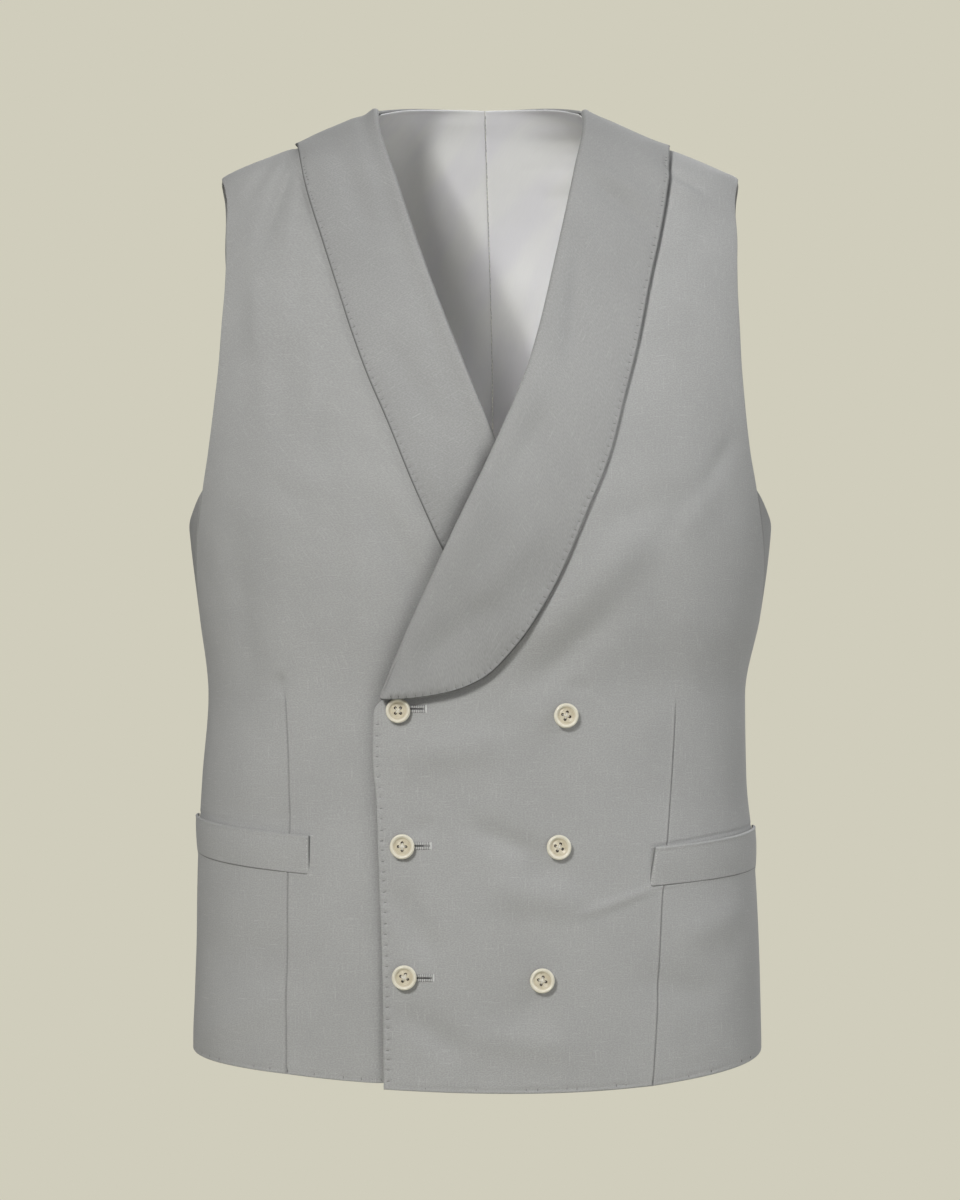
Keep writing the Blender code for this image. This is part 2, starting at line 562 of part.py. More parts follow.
def roll_profile(width, stand, swell_share):
    """Middle line of the lapel's wall, as (distance from the roll, lift, direction of its outer face)."""
    half = LAPEL_WALL / 2
    radius = ROLL_RADIUS - half
    rest = LAPEL_GAP + half
    middle = rest + ROLL_RISE - radius
    points = []
    for step in range(5):
        angle = math.radians(270 - 45 * step)
        facing = (math.cos(angle), math.sin(angle))
        points.append((ROLL_RADIUS + radius * facing[0], middle + radius * facing[1], facing))
    share_each = (width - ROLL_RADIUS) / (len(LAPEL_COLUMNS) + LAPEL_EVEN)
    distances = [min(wanted, ROLL_RADIUS + share_each * (i + 1)) for i, wanted in enumerate(LAPEL_COLUMNS)]
    last = distances[-1]
    distances += [last + (width - last) * (i + 1) / LAPEL_EVEN for i in range(LAPEL_EVEN)]
    for distance in distances:
        swell = ROLL_SWELL * swell_share * math.exp(-((distance - ROLL_SWELL_AT) / ROLL_SWELL_WIDTH) ** 2)
        share = distance / width
        slope = 2 * stand * share / width
        facing = (-slope / math.hypot(1, slope), 1 / math.hypot(1, slope))
        points.append((distance, rest + swell + stand * share * share, facing))
    return points


def make_lapel(side, material):
    table = LEFT_LAPEL if side == "left" else RIGHT_LAPEL
    edges = LEFT_EDGE if side == "left" else RIGHT_EDGE
    half = LAPEL_WALL / 2
    rows = []
    for index, up in enumerate(LAPEL_ROWS):
        roll_height = read(table, "up", up, "roll_height")
        edge_height = read(table, "up", up, "edge_height")
        row = ((turn_at(read(edges, "height", roll_height, "x"), roll_height), roll_height),
               (turn_at(read(table, "up", up, "edge_x"), edge_height), edge_height))
        stretch = across_roll(edges, roll_height, row)
        width = row_length(row) / stretch
        cover = 0.0
        if side == "right":
            over = read(LEFT_EDGE, "height", roll_height, "x")
            cover = 1 - ease(0.0, CROSSING_CLEAR, over - form_point(*row[0]).x)
        shoulder = ease(*SHOULDER_FROM, roll_height)
        profile = roll_profile(width, read(table, "up", up, "stand"), (1 - cover) * (1 - shoulder))
        line = []
        for column, (distance, lift, facing) in enumerate(profile):
            points = []
            for face in (half, -half):
                place = row_places(row, [(0, 0.0, (distance + facing[0] * face) * stretch)])[0]
                if up == 1.0:
                    place = along_seam([place], SEAM_FORWARD)[0]
                rise = front_lift(side, *place) + SHOULDER_LIFT * shoulder + lift + facing[1] * face
                points.append(lifted(*place, rise))
            line.append(((index, column), *points))
        rows.append(line)
    wall_object("lapel_" + side, [rows], material)


# ---------------------------------------------------------------- welts
def make_welt(welt, material):
    side = "left" if welt.side > 0 else "right"
    rows = []
    for level in range(WELT_ROWS + 1):
        share = level / WELT_ROWS
        start_height = welt.bottom + (welt.top - welt.bottom) * share
        end_height = welt.end_bottom + (welt.end_top - welt.end_bottom) * share
        start_x = welt.bottom_x + (welt.top_x - welt.bottom_x) * share
        row = ((turn_at(welt.side * start_x, start_height), start_height),
               (welt.side * welt.end_turn, end_height))
        places = row_places(row, [(0, i / WELT_COLUMNS, 0.0) for i in range(WELT_COLUMNS + 1)])
        line = []
        for place in places:
            lift = front_lift(side, *place) + WELT_GAP + WELT_WALL
            line.append(panel_point(*place, lift, WELT_WALL))
        rows.append(line)
    wall_object(welt.name, [rows], material)


# ---------------------------------------------------------------- buttons
def button_mesh():
    """A turned disc with a raised rim, a dished face and four holes, back face at height 0."""
    builder = bmesh.new()
    loops = []
    for ring in BUTTON_PROFILE:
        angles = (2 * math.pi * i / BUTTON_SIDES for i in range(BUTTON_SIDES))
        loops.append([builder.verts.new((ring.radius * math.cos(a), ring.radius * math.sin(a), ring.height))
                      for a in angles])
    for low, high in zip(loops, loops[1:]):
        for i in range(BUTTON_SIDES):
            following = (i + 1) % BUTTON_SIDES
            builder.faces.new([low[i], low[following], high[following], high[i]])
    builder.faces.new(list(reversed(loops[0])))
    builder.faces.new(loops[-1])
    disc = bpy.data.meshes.new("button_disc")
    builder.to_mesh(disc)
    builder.free()
    return disc


def hole_cutters():
    height = max(ring.height for ring in BUTTON_PROFILE)
    builder = bmesh.new()
    for across in (-0.5, 0.5):
        for along in (-0.5, 0.5):
            place = Matrix.Translation((across * HOLE_PITCH, along * HOLE_PITCH, height / 2))
            bmesh.ops.create_cone(builder, cap_ends=True, segments=HOLE_SIDES, radius1=HOLE_RADIUS,
                                  radius2=HOLE_RADIUS, depth=2 * height, matrix=place)
    mesh = bpy.data.meshes.new("button_holes")
    builder.to_mesh(mesh)
    builder.free()
    return mesh


def drilled_button():
    disc = bpy.data.objects.new("disc", button_mesh())
    holes = bpy.data.objects.new("holes", hole_cutters())
    for obj in (disc, holes):
        bpy.context.collection.objects.link(obj)
    cut = disc.modifiers.new("holes", "BOOLEAN")
    cut.operation = "DIFFERENCE"
    cut.object = holes
    bpy.context.view_layer.update()
    mesh = bpy.data.meshes.new_from_object(disc.evaluated_get(bpy.context.evaluated_depsgraph_get()))
    builder = bmesh.new()
    builder.from_mesh(mesh)
    bmesh.ops.triangulate(builder, faces=builder.faces)
    builder.to_mesh(mesh)
    builder.free()
    bpy.data.objects.remove(disc)
    bpy.data.objects.remove(holes)
    return mesh


def make_button(button, drilled, material):
    turn = turn_at(button.x, button.height)
    normal = form_normal(turn, button.height)
    lift = front_lift("left", turn, button.height) + BUTTON_LIFT
    place = form_point(turn, button.height) + normal * lift
    level = Vector((0, 0, 1)).cross(normal).normalized()
    facing = Matrix((level, normal.cross(level), normal)).transposed().to_4x4()
    spin = Matrix.Rotation(math.radians(button.spin), 4, "Z")
    obj = add_object(button.name, drilled.copy(), material)
    obj.matrix_world = Matrix.Translation(place) @ facing @ spin


# ---------------------------------------------------------------- the whole garment
def main():
    for obj in list(bpy.data.objects):
        bpy.data.objects.remove(obj)
    worsted = (0.30, 0.305, 0.29)
    lapel_cloth = (0.33, 0.335, 0.32)
    back_cloth = (0.25, 0.25, 0.235)
    satin = (0.56, 0.555, 0.57)
    ivory = (0.80, 0.76, 0.66)
    for side in ("right", "left"):
        make_front(side, make_material("worsted_" + side, worsted, 0.85))
        make_lapel(side, make_material("lapel_" + side, lapel_cloth, 0.85))
        make_back(side, make_material("back_" + side, back_cloth, 0.6))
        make_back_lining(side, make_material("lining_" + side, satin, 0.35))
    for welt in WELTS:
        make_welt(welt, make_material(welt.name, worsted, 0.85))
    drilled = drilled_button()
    for button in BUTTONS:
        make_button(button, drilled, make_material(button.name, ivory, 0.3))


main()
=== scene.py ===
import json
import math

import bmesh
import bpy
import numpy as np
from mathutils import Matrix, Vector
from mathutils.kdtree import KDTree

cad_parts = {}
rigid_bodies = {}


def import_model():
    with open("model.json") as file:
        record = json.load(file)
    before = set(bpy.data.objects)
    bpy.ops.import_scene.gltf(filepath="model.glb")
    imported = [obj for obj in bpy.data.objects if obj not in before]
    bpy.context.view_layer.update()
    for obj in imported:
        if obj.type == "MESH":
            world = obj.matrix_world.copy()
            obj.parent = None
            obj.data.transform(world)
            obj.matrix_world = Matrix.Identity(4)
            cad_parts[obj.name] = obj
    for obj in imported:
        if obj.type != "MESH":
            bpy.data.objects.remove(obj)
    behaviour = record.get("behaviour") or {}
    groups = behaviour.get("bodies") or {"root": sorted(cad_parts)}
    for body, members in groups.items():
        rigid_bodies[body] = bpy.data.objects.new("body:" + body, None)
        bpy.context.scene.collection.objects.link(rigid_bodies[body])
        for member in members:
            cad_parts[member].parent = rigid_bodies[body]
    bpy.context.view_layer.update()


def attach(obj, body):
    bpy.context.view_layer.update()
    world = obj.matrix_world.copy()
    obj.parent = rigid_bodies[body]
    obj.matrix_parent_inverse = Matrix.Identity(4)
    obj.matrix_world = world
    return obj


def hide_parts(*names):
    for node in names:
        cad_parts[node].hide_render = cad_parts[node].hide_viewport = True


for thing in list(bpy.data.objects):  # the startup file's own cube, light and camera
    bpy.data.objects.remove(thing)
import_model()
print("waistcoat: frame loaded")

# The form under the cloth: rings with half widths on each side and depths before and behind the middle.
form = {
    "columns": "height right left front back",
    "rows": (
        (0.0100, 0.0400, 0.0400, 0.0220, 0.0600),
        (-0.0025, 0.0645, 0.0645, 0.0325, 0.0672),
        (-0.0063, 0.0715, 0.0695, 0.0365, 0.0692),
        (-0.0140, 0.0886, 0.0864, 0.0440, 0.0728),
        (-0.0204, 0.1034, 0.1000, 0.0500, 0.0756),
        (-0.0255, 0.1142, 0.1120, 0.0542, 0.0777),
        (-0.0307, 0.1284, 0.1276, 0.0585, 0.0799),
        (-0.0435, 0.1598, 0.1580, 0.0675, 0.0850),
        (-0.0462, 0.1645, 0.1640, 0.0691, 0.0861),
        (-0.0520, 0.1690, 0.1695, 0.0725, 0.0883),
        (-0.0700, 0.1765, 0.1775, 0.0820, 0.0950),
        (-0.1000, 0.1850, 0.1865, 0.0950, 0.1040),
        (-0.1500, 0.1895, 0.1897, 0.1090, 0.1140),
        (-0.2100, 0.1900, 0.1890, 0.1190, 0.1180),
        (-0.2730, 0.1852, 0.1856, 0.1240, 0.1150),
        (-0.3250, 0.1790, 0.1790, 0.1210, 0.1060),
        (-0.3760, 0.1733, 0.1692, 0.1170, 0.0990),
        (-0.4280, 0.1772, 0.1700, 0.1170, 0.0980),
        (-0.4800, 0.1800, 0.1752, 0.1190, 0.1030),
        (-0.5400, 0.1812, 0.1782, 0.1210, 0.1090),
        (-0.6250, 0.1840, 0.1802, 0.1200, 0.1120),
    ),
    "frontRound": 2.35,  # 2 is an ellipse, more is squarer
    "backRound": 2.40,
    "inside": (0.0, 0.0, -0.30),  # outward is away from this point
}
cloth = {
    "wall": 0.0020,
    "seamGap": 0.0003,
    "shoulderForward": 0.0024,  # the shoulder seam lies this far before the ridge
    "shoulderRows": 0.9975,  # the rows past this share of the way up come onto that seam
    "edgeRound": 0.0011,  # how far in from an edge its turn begins
}
# Where the points crowd together: at turned edges, stitch lines and the dart, in metres.
crowd = {
    "edge": (
        0, 0.0001, 0.0003, 0.0006, 0.0010, 0.0016, 0.0023, 0.0030, 0.0037, 0.0044, 0.0052, 0.0064, 0.0080,
    ),
    "seam": (0, 0.0001, 0.0003, 0.0006, 0.0010, 0.0018, 0.0032, 0.0060),
    "dart": (0, 0.00025, 0.0005, 0.0008, 0.0012, 0.0018, 0.0026, 0.0040),
    "kink": (0, 0.0004, 0.0012, 0.0030),
    "welt": (0, 0.0001, 0.0003, 0.0006, 0.0010, 0.0015, 0.0021),
    "besideRoll": (0.0031, 0.0040, 0.0052, 0.0066, 0.0084, 0.0106, 0.0130),  # from the front's edge
    "rowsAtEnd": (0, 0.00016, 0.0005, 0.0010, 0.0016, 0.0026, 0.0040),  # shares of a piece's height
}
signOf = {"left": 1, "right": -1}


def smoothCurve(places, values):  # monotone cubic, so it never overshoots its rows
    order = np.argsort(places)
    x, y = np.asarray(places, float)[order], np.asarray(values, float)[order]
    step = np.diff(x)
    slope = np.diff(y) / step
    tangent = np.concatenate((slope[:1], np.zeros(len(x) - 2), slope[-1:]))
    rising = slope[:-1] * slope[1:] > 0
    weightBefore = (2 * step[1:] + step[:-1])[rising]
    weightAfter = (step[1:] + 2 * step[:-1])[rising]
    before, after = slope[:-1][rising], slope[1:][rising]
    tangent[1:-1][rising] = (weightBefore + weightAfter) / (weightBefore / before + weightAfter / after)

    def read(at):
        at = np.clip(at, x[0], x[-1])
        i = np.clip(np.searchsorted(x, at) - 1, 0, len(x) - 2)
        f = (at - x[i]) / step[i]
        start = y[i] * (1 + 2 * f) + step[i] * tangent[i] * f
        end = y[i + 1] * (3 - 2 * f) - step[i] * tangent[i + 1] * (1 - f)
        return start * (1 - f) ** 2 + end * f * f

    return read


def curvesOf(columns, rows, across):  # one smooth curve for each other column
    names = columns.split()
    table = np.array(rows, float)
    places = table[:, names.index(across)]
    return {name: smoothCurve(places, table[:, i]) for i, name in enumerate(names) if name != across}


def ease(low, high, value):  # 0 below low, 1 above high, smooth between
    f = np.clip((value - low) / (high - low), 0.0, 1.0)
    return f * f * (3 - 2 * f)


def bell(value, width):
    return np.exp(-((value / width) ** 2))


formCurves = curvesOf(form["columns"], form["rows"], "height")


def formPoint(turn, height):  # turn 0 is centre front, 1 the left side, 2 centre back, minus on the right
    turn = np.where(np.abs(turn) > 2, turn - 4 * np.sign(turn), turn)
    width = np.where(turn >= 0, formCurves["left"](height), formCurves["right"](height))
    inFront = np.abs(turn) <= 1
    depth = np.where(inFront, -formCurves["front"](height), formCurves["back"](height))
    power = np.where(inFront, 2 / form["frontRound"], 2 / form["backRound"])
    angle = np.abs(turn) * math.pi / 2
    x = np.sign(turn) * width * np.maximum(np.sin(angle), 0) ** power
    y = depth * np.abs(np.cos(angle)) ** power
    return np.stack(np.broadcast_arrays(x, y, height), axis=-1)


def formNormal(turn, height):
    turnStep, heightStep = 0.004, 0.001
    around = formPoint(turn + turnStep, height) - formPoint(turn - turnStep, height)
    upward = formPoint(turn, height + heightStep) - formPoint(turn, height - heightStep)
    normal = np.cross(around, upward)
    normal /= np.linalg.norm(normal, axis=-1, keepdims=True)
    outward = (normal * (formPoint(turn, height) - form["inside"])).sum(axis=-1, keepdims=True)
    return np.where(outward > 0, normal, -normal)


def onForm(turn, height, lift):
    return formPoint(turn, height) + formNormal(turn, height) * np.asarray(lift)[..., None]


def seamTurn(height, forward):
    share = (forward / formCurves["front"](height)) ** (form["frontRound"] / 2)
    return 1 - np.arcsin(share) * 2 / math.pi


def turnAt(x, height):  # the turn on the front half where the form has this x
    width = np.where(x >= 0, formCurves["left"](height), formCurves["right"](height))
    share = np.minimum(np.abs(x) / width, 1.0) ** (form["frontRound"] / 2)
    turn = np.minimum(np.arcsin(share) * 2 / math.pi, seamTurn(height, cloth["shoulderForward"]))
    return np.sign(x) * turn


def pathThrough(anchors):  # rows x points x (turn, height); gives samples, reach and stretch lengths
    samples = 48
    blend = np.linspace(0, 1, samples + 1)[:-1, None]
    parts = [anchors[:, i, None] + (anchors[:, i + 1, None] - anchors[:, i, None]) * blend
             for i in range(anchors.shape[1] - 1)]
    line = np.concatenate(parts + [anchors[:, -1:]], axis=1)
    steps = np.linalg.norm(np.diff(formPoint(line[..., 0], line[..., 1]), axis=1), axis=-1)
    reach = np.concatenate((np.zeros((len(line), 1)), np.cumsum(steps, axis=1)), axis=1)
    corners = reach[:, ::samples]
    return line, reach, np.diff(corners, axis=1)


def placesAt(path, distances):  # distances: rows x columns, in metres along each row
    line, reach, lengths = path
    shelf = 10.0 * np.arange(len(reach))[:, None]  # keeps the rows apart in one long table
    wanted = (np.clip(distances, 0, reach[:, -1:]) + shelf).ravel()
    known = (reach + shelf).ravel()
    found = [np.interp(wanted, known, line[..., i].ravel()).reshape(distances.shape) for i in (0, 1)]
    return np.stack(found, axis=-1)


def spread(start, end, first, count, last):  # distances from start to end, set by hand at both ends
    start, end = np.broadcast_arrays(np.atleast_1d(start), np.atleast_1d(end))
    low = start[:, None] + np.asarray(first)[None, :]
    high = end[:, None] - np.asarray(last)[None, ::-1]
    share = np.linspace(0, 1, count + 2)[None, 1:-1]
    return np.concatenate((low, low[:, -1:] + (high[:, :1] - low[:, -1:]) * share, high), axis=1)


def rowsOf(starts, ends, runs, widen=1.0):  # shares of the way up: crowded at these, even in each run
    close = np.array(crowd["rowsAtEnd"]) * widen
    rows = [start + close for start in starts] + [end - close for end in ends]
    rows += [np.linspace(*run) for run in runs]  # first, last and how many
    return np.unique(np.concatenate(rows).round(6))


def towardsSeam(places, ups, forward):  # brings the last rows onto the shoulder seam
    share = ease(cloth["shoulderRows"], 1.0, ups)[:, None]
    seam = np.sign(places[..., 0]) * seamTurn(places[..., 1], forward)
    moved = places.copy()
    moved[..., 0] += (seam - places[..., 0]) * share
    return moved


# Cloth shells: a middle surface made of grids of points, given two faces that meet in a turned edge.
def gridQuads(index):
    corners = (index[:-1, :-1], index[:-1, 1:], index[1:, 1:], index[1:, :-1])
    return np.stack(corners, axis=-1).reshape(-1, 4)


def pointNormals(points, quads):
    a, b, c, d = (points[quads[:, i]] for i in range(4))
    across = np.cross(c - a, d - b)
    normal = np.zeros_like(points)
    for i in range(4):
        np.add.at(normal, quads[:, i], across)
    return normal / np.maximum(np.linalg.norm(normal, axis=1, keepdims=True), 1e-12)


def openEdges(quads):
    edges = np.concatenate([quads[:, [i, (i + 1) % 4]] for i in range(4)])
    unique, counts = np.unique(np.sort(edges, axis=1), axis=0, return_counts=True)
    return unique[counts == 1]


def treeOf(points):
    tree = KDTree(len(points))
    for i, point in enumerate(points):
        tree.insert(point, i)
    tree.balance()
    return tree


def distanceToEdge(points, edges):
    spacing = 0.0003
    starts, ends = points[edges[:, 0]], points[edges[:, 1]]
    counts = np.ceil(np.linalg.norm(ends - starts, axis=1) / spacing).astype(int)
    samples = [a + (b - a) * np.linspace(0, 1, n, endpoint=False)[:, None]
               for a, b, n in zip(starts, ends, np.maximum(counts, 1))]
    tree = treeOf(np.concatenate(samples))
    return np.array([tree.find(point)[2] for point in points])


def placed(name, data):  # a new object in the scene
    piece = bpy.data.objects.new(name, data)
    bpy.context.collection.objects.link(piece)
    return piece


def meshOf(name, points, edges, faces, materials=()):
    mesh = bpy.data.meshes.new(name)
    mesh.from_pydata(np.asarray(points).tolist(), edges, np.asarray(faces).tolist())
    for material in materials:
        mesh.materials.append(material)
    return mesh


def clothShell(name, middle, grids, outward, uv, wall, materials, press=None, crease=None):
    quads = np.concatenate([gridQuads(index) for index in grids])
    normal = pointNormals(middle, quads)
    if (normal * outward).sum() < 0:
        quads, normal = quads[:, ::-1], -normal
    edges = openEdges(quads)
    depth = np.clip(distanceToEdge(middle, edges) / cloth["edgeRound"], 0, 1)
    half = (wall / 2 * np.sqrt(1 - (1 - depth) ** 2))[:, None]
    onEdge = np.zeros(len(middle), bool)
    onEdge[edges.ravel()] = True
    half[onEdge] = 0
    outer = middle + normal * half
    if press is not None:
        outer = outer + normal * press[:, None] * depth[:, None]
    inside = np.arange(len(middle))
    inside[~onEdge] = len(middle) + np.arange((~onEdge).sum())
    points = np.concatenate((outer, (middle - normal * half)[~onEdge]))
    mesh = meshOf(name, points, [], np.concatenate((quads, inside[quads[:, ::-1]])), materials)
    # painted shade for each point: the share by which its cloth is drawn toward a near-black grey
    crease = np.zeros(len(middle)) if crease is None else crease
    for label, values in (("weave", uv), ("crease", np.stack((crease, crease), axis=1))):
        flat = np.concatenate((values[quads], values[quads[:, ::-1]]))
        mesh.uv_layers.new(name=label).data.foreach_set("uv", flat.astype(np.float32).ravel())
    side = np.repeat([0, len(materials) - 1], len(quads)).astype(np.int32)
    mesh.polygons.foreach_set("material_index", side)
    mesh.shade_smooth()
    mesh.update()
    return placed(name, mesh)


def onePatch(turn, height, lift):  # a grid's middle surface, index, way out, and weave map in metres
    grid = onForm(turn, height, lift)

    def run(axis):
        steps = np.linalg.norm(np.diff(grid, axis=axis), axis=-1)
        start = np.zeros_like(steps.take([0], axis))
        return np.concatenate((start, np.cumsum(steps, axis=axis)), axis=axis)

    across = run(1) + formPoint(turn[:, :1], height[:, :1])[..., 0]
    uv = np.stack((across, run(0) + height[:1]), axis=-1).reshape(-1, 2)
    index = np.arange(turn.size).reshape(turn.shape)
    return grid.reshape(-1, 3), index, formNormal(turn, height).reshape(-1, 3), uv


# The fronts: their edges, rows, soft folds and darts.
fronts = {
    "edge": {  # height and x
        "left": (
            (-0.0025, 0.0645), (-0.0135, 0.0649), (-0.0450, 0.0589), (-0.0974, 0.0477),
            (-0.1692, 0.0299), (-0.2170, 0.0103), (-0.2865, -0.0228), (-0.3484, -0.0505),
            (-0.3722, -0.0600), (-0.3760, -0.0618), (-0.3860, -0.0648), (-0.4130, -0.0653),
            (-0.4370, -0.0631), (-0.4870, -0.0613), (-0.5240, -0.0598), (-0.5730, -0.0588),
            (-0.6140, -0.0585),
        ),
        "right": (
            (-0.0025, -0.0645), (-0.0116, -0.0640), (-0.0543, -0.0515), (-0.1048, -0.0348),
            (-0.1537, -0.0164), (-0.2115, 0.0074), (-0.2380, 0.0180), (-0.3720, 0.0580),
            (-0.6140, 0.0580),
        ),
    },
    "rowColumns": "up edgeHeight dartX dartHeight",
    "rows": {
        "left": (
            (0.000, -0.6140, 0.1060, -0.6137), (0.080, -0.5730, 0.1088, -0.5705),
            (0.200, -0.5050, 0.1120, -0.5020), (0.300, -0.4400, 0.1170, -0.4450),
            (0.380, -0.3850, 0.1202, -0.3920), (0.397, -0.3740, 0.1205, -0.3815),
            (0.500, -0.3140, 0.1225, -0.3160), (0.600, -0.2480, 0.1250, -0.2500),
            (0.700, -0.1800, 0.1255, -0.1850), (0.800, -0.1100, 0.1235, -0.1250),
            (0.880, -0.0640, 0.1210, -0.0820), (0.950, -0.0300, 0.1190, -0.0510),
            (0.975, -0.0150, 0.1170, -0.0360), (1.000, -0.0025, 0.1145, -0.0256),
        ),
        "right": (
            (0.000, -0.6110, -0.1192, -0.6070), (0.080, -0.5700, -0.1192, -0.5660),
            (0.200, -0.5030, -0.1185, -0.5000), (0.300, -0.4400, -0.1175, -0.4430),
            (0.380, -0.3850, -0.1192, -0.3850), (0.397, -0.3740, -0.1196, -0.3755),
            (0.500, -0.3140, -0.1225, -0.3160), (0.600, -0.2480, -0.1250, -0.2500),
            (0.700, -0.1800, -0.1255, -0.1850), (0.800, -0.1100, -0.1235, -0.1250),
            (0.880, -0.0640, -0.1210, -0.0820), (0.950, -0.0300, -0.1190, -0.0510),
            (0.975, -0.0150, -0.1170, -0.0360), (1.000, -0.0025, -0.1145, -0.0240),
        ),
    },
    "sideColumns": "up turn height",
    "side": (
        (0.00, 1.000, -0.6000), (0.10, 1.008, -0.5450), (0.20, 1.015, -0.4900),
        (0.30, 1.020, -0.4300), (0.40, 1.010, -0.3720), (0.47, 0.960, -0.3330),
        (0.53, 0.860, -0.2950), (0.58, 0.765, -0.2600), (0.60, 0.734, -0.2468),
        (0.65, 0.683, -0.2220), (0.70, 0.655, -0.1960), (0.76, 0.633, -0.1630),
        (0.82, 0.626, -0.1300), (0.87, 0.638, -0.1030), (0.91, 0.675, -0.0810),
        (0.945, 0.733, -0.0620), (0.97, 0.800, -0.0535), (0.985, 0.865, -0.0495),
        (1.00, 0.985, -0.0462),
    ),
    "evenRows": {  # first, last and how many: below the roll, where it starts, and above it
        "left": ((0.0048, 0.381, 250), (0.382, 0.399, 18), (0.400, 0.9945, 155)),
        "right": ((0.0048, 0.381, 160), (0.382, 0.399, 18), (0.400, 0.9945, 155)),
    },
    "columns": (44, 28),  # evenly spaced ones, from the edge to the dart and on to the side
    "hemDip": 0.0024,
    "hemDipEnds": 0.12,
    "rollStarts": (0.385, 0.396),
    "dartFades": (0.386, 0.410),
    "dartShade": (0.34, 0.00045),  # how dark its painted shade line is, and half its width
    "dartCrease": (-0.0007, 0.0005),  # depth and half width
    "dartLip": (0.0003, 0.0010, 0.0014),  # rise, half width and how far beside the crease
    "seamSinks": (0.0011, 0.93, 0.984),  # how far the shoulder seam draws it in, between these turns
    "seamSinkHeights": (-0.060, -0.048),
    "foldDepth": 1.4,  # how deep the folds below are drawn
    "overlap": (  # height and lift of the over front above the under one
        (-0.6200, 0.0027), (-0.4000, 0.0027), (-0.3600, 0.0034), (-0.3250, 0.0048),
        (-0.2050, 0.0048), (-0.1300, 0.0012), (-0.0700, 0.0), (0.0, 0.0),
    ),
    "overlapSettles": (0.064, 0.125),  # x where it starts and ends
    "dips": {  # the under front sinks beside the over front's edge
        "depth": 0.0042,
        "most": 1.08,  # past the edge it goes on sinking up to this share
        "reach": (  # height, and how far from the edge it starts
            (-0.620, 0.0065), (-0.520, 0.0080), (-0.460, 0.0110), (-0.385, 0.0150), (-0.330, 0.0160),
            (-0.240, 0.0100),
        ),
    },
    "folds": {  # x, height, half length, half width, tilt in degrees, rise
        "right": (
            (-0.121, -0.300, 0.085, 0.0160, 4, 0.0016), (-0.150, -0.150, 0.080, 0.0120, -6, -0.0012),
            (-0.126, -0.064, 0.032, 0.0050, 18, -0.0018), (-0.138, -0.050, 0.015, 0.0045, 34, -0.0010),
            (-0.116, -0.078, 0.026, 0.0060, 12, 0.0010), (-0.112, -0.124, 0.016, 0.0050, 3, -0.0010),
            (-0.139, -0.140, 0.022, 0.0070, -3, 0.0010), (-0.122, -0.184, 0.030, 0.0080, 2, -0.0016),
            (-0.102, -0.185, 0.022, 0.0060, -2, 0.0012), (-0.095, -0.215, 0.022, 0.0060, 4, -0.0014),
            (-0.117, -0.250, 0.020, 0.0075, 118, -0.0006), (-0.106, -0.243, 0.016, 0.0080, 112, 0.0004),
            (-0.050, -0.284, 0.036, 0.0090, 151, -0.0026), (-0.085, -0.295, 0.036, 0.0060, 3, -0.0008),
            (-0.071, -0.326, 0.046, 0.0090, -4, 0.0012), (-0.123, -0.368, 0.006, 0.0032, 10, -0.0012),
            (-0.149, -0.574, 0.030, 0.0110, 58, 0.0014), (-0.145, -0.534, 0.028, 0.0180, 80, -0.0016),
            (-0.090, -0.517, 0.080, 0.0120, 1, 0.0010), (-0.149, -0.070, 0.012, 0.0070, 60, -0.0005),
            (-0.148, -0.316, 0.050, 0.0090, -8, -0.0010), (-0.136, -0.450, 0.030, 0.0100, 96, -0.0008),
            (-0.096, -0.050, 0.018, 0.0080, 150, 0.0006), (-0.076, -0.066, 0.026, 0.0070, 160, -0.0012),
            (-0.038, -0.187, 0.030, 0.0080, 148, -0.0014), (-0.026, -0.245, 0.014, 0.0080, 150, 0.0012),
        ),
        "left": (
            (0.128, -0.300, 0.090, 0.0180, -5, 0.0016), (0.132, -0.095, 0.030, 0.0090, 38, -0.0007),
            (0.089, -0.072, 0.022, 0.0055, 127, -0.0016), (0.083, -0.055, 0.022, 0.0042, 120, 0.0010),
            (0.057, -0.127, 0.036, 0.0050, 5, -0.0012), (0.127, -0.051, 0.016, 0.0034, 120, -0.0011),
            (0.124, -0.058, 0.017, 0.0046, 118, 0.0008), (0.098, -0.261, 0.034, 0.0110, 71, -0.0008),
            (0.062, -0.309, 0.052, 0.0130, 50, 0.0024), (0.055, -0.347, 0.036, 0.0100, 47, -0.0020),
            (0.136, -0.254, 0.024, 0.0080, 33, 0.0007), (0.125, -0.259, 0.026, 0.0080, 36, -0.0007),
            (0.148, -0.231, 0.020, 0.0060, 28, -0.0010), (0.059, -0.369, 0.006, 0.0045, 60, -0.0008),
            (-0.017, -0.406, 0.030, 0.0120, 82, 0.0016), (0.017, -0.463, 0.024, 0.0080, 114, -0.0020),
            (0.035, -0.496, 0.026, 0.0110, 100, 0.0018), (-0.040, -0.512, 0.024, 0.0080, 148, -0.0018),
            (0.084, -0.500, 0.024, 0.0032, 71, 0.0008), (-0.029, -0.579, 0.022, 0.0085, 125, -0.0016),
            (0.143, -0.517, 0.022, 0.0120, 70, 0.0014), (-0.035, -0.454, 0.006, 0.0050, 40, -0.0010),
            (0.024, -0.584, 0.030, 0.0110, 96, 0.0012), (0.122, -0.554, 0.026, 0.0100, 104, -0.0010),
            (0.024, -0.225, 0.030, 0.0100, 36, -0.0014), (0.017, -0.292, 0.032, 0.0090, 38, 0.0012),
            (-0.011, -0.333, 0.026, 0.0110, 52, -0.0014),
        ),
    },
}
edgeCurve = {side: curvesOf("height x", fronts["edge"][side], "height")["x"] for side in signOf}
rowCurves = {side: curvesOf(fronts["rowColumns"], fronts["rows"][side], "up") for side in signOf}
sideCurves = curvesOf(fronts["sideColumns"], fronts["side"], "up")
overlapCurve = curvesOf("height lift", fronts["overlap"], "height")["lift"]
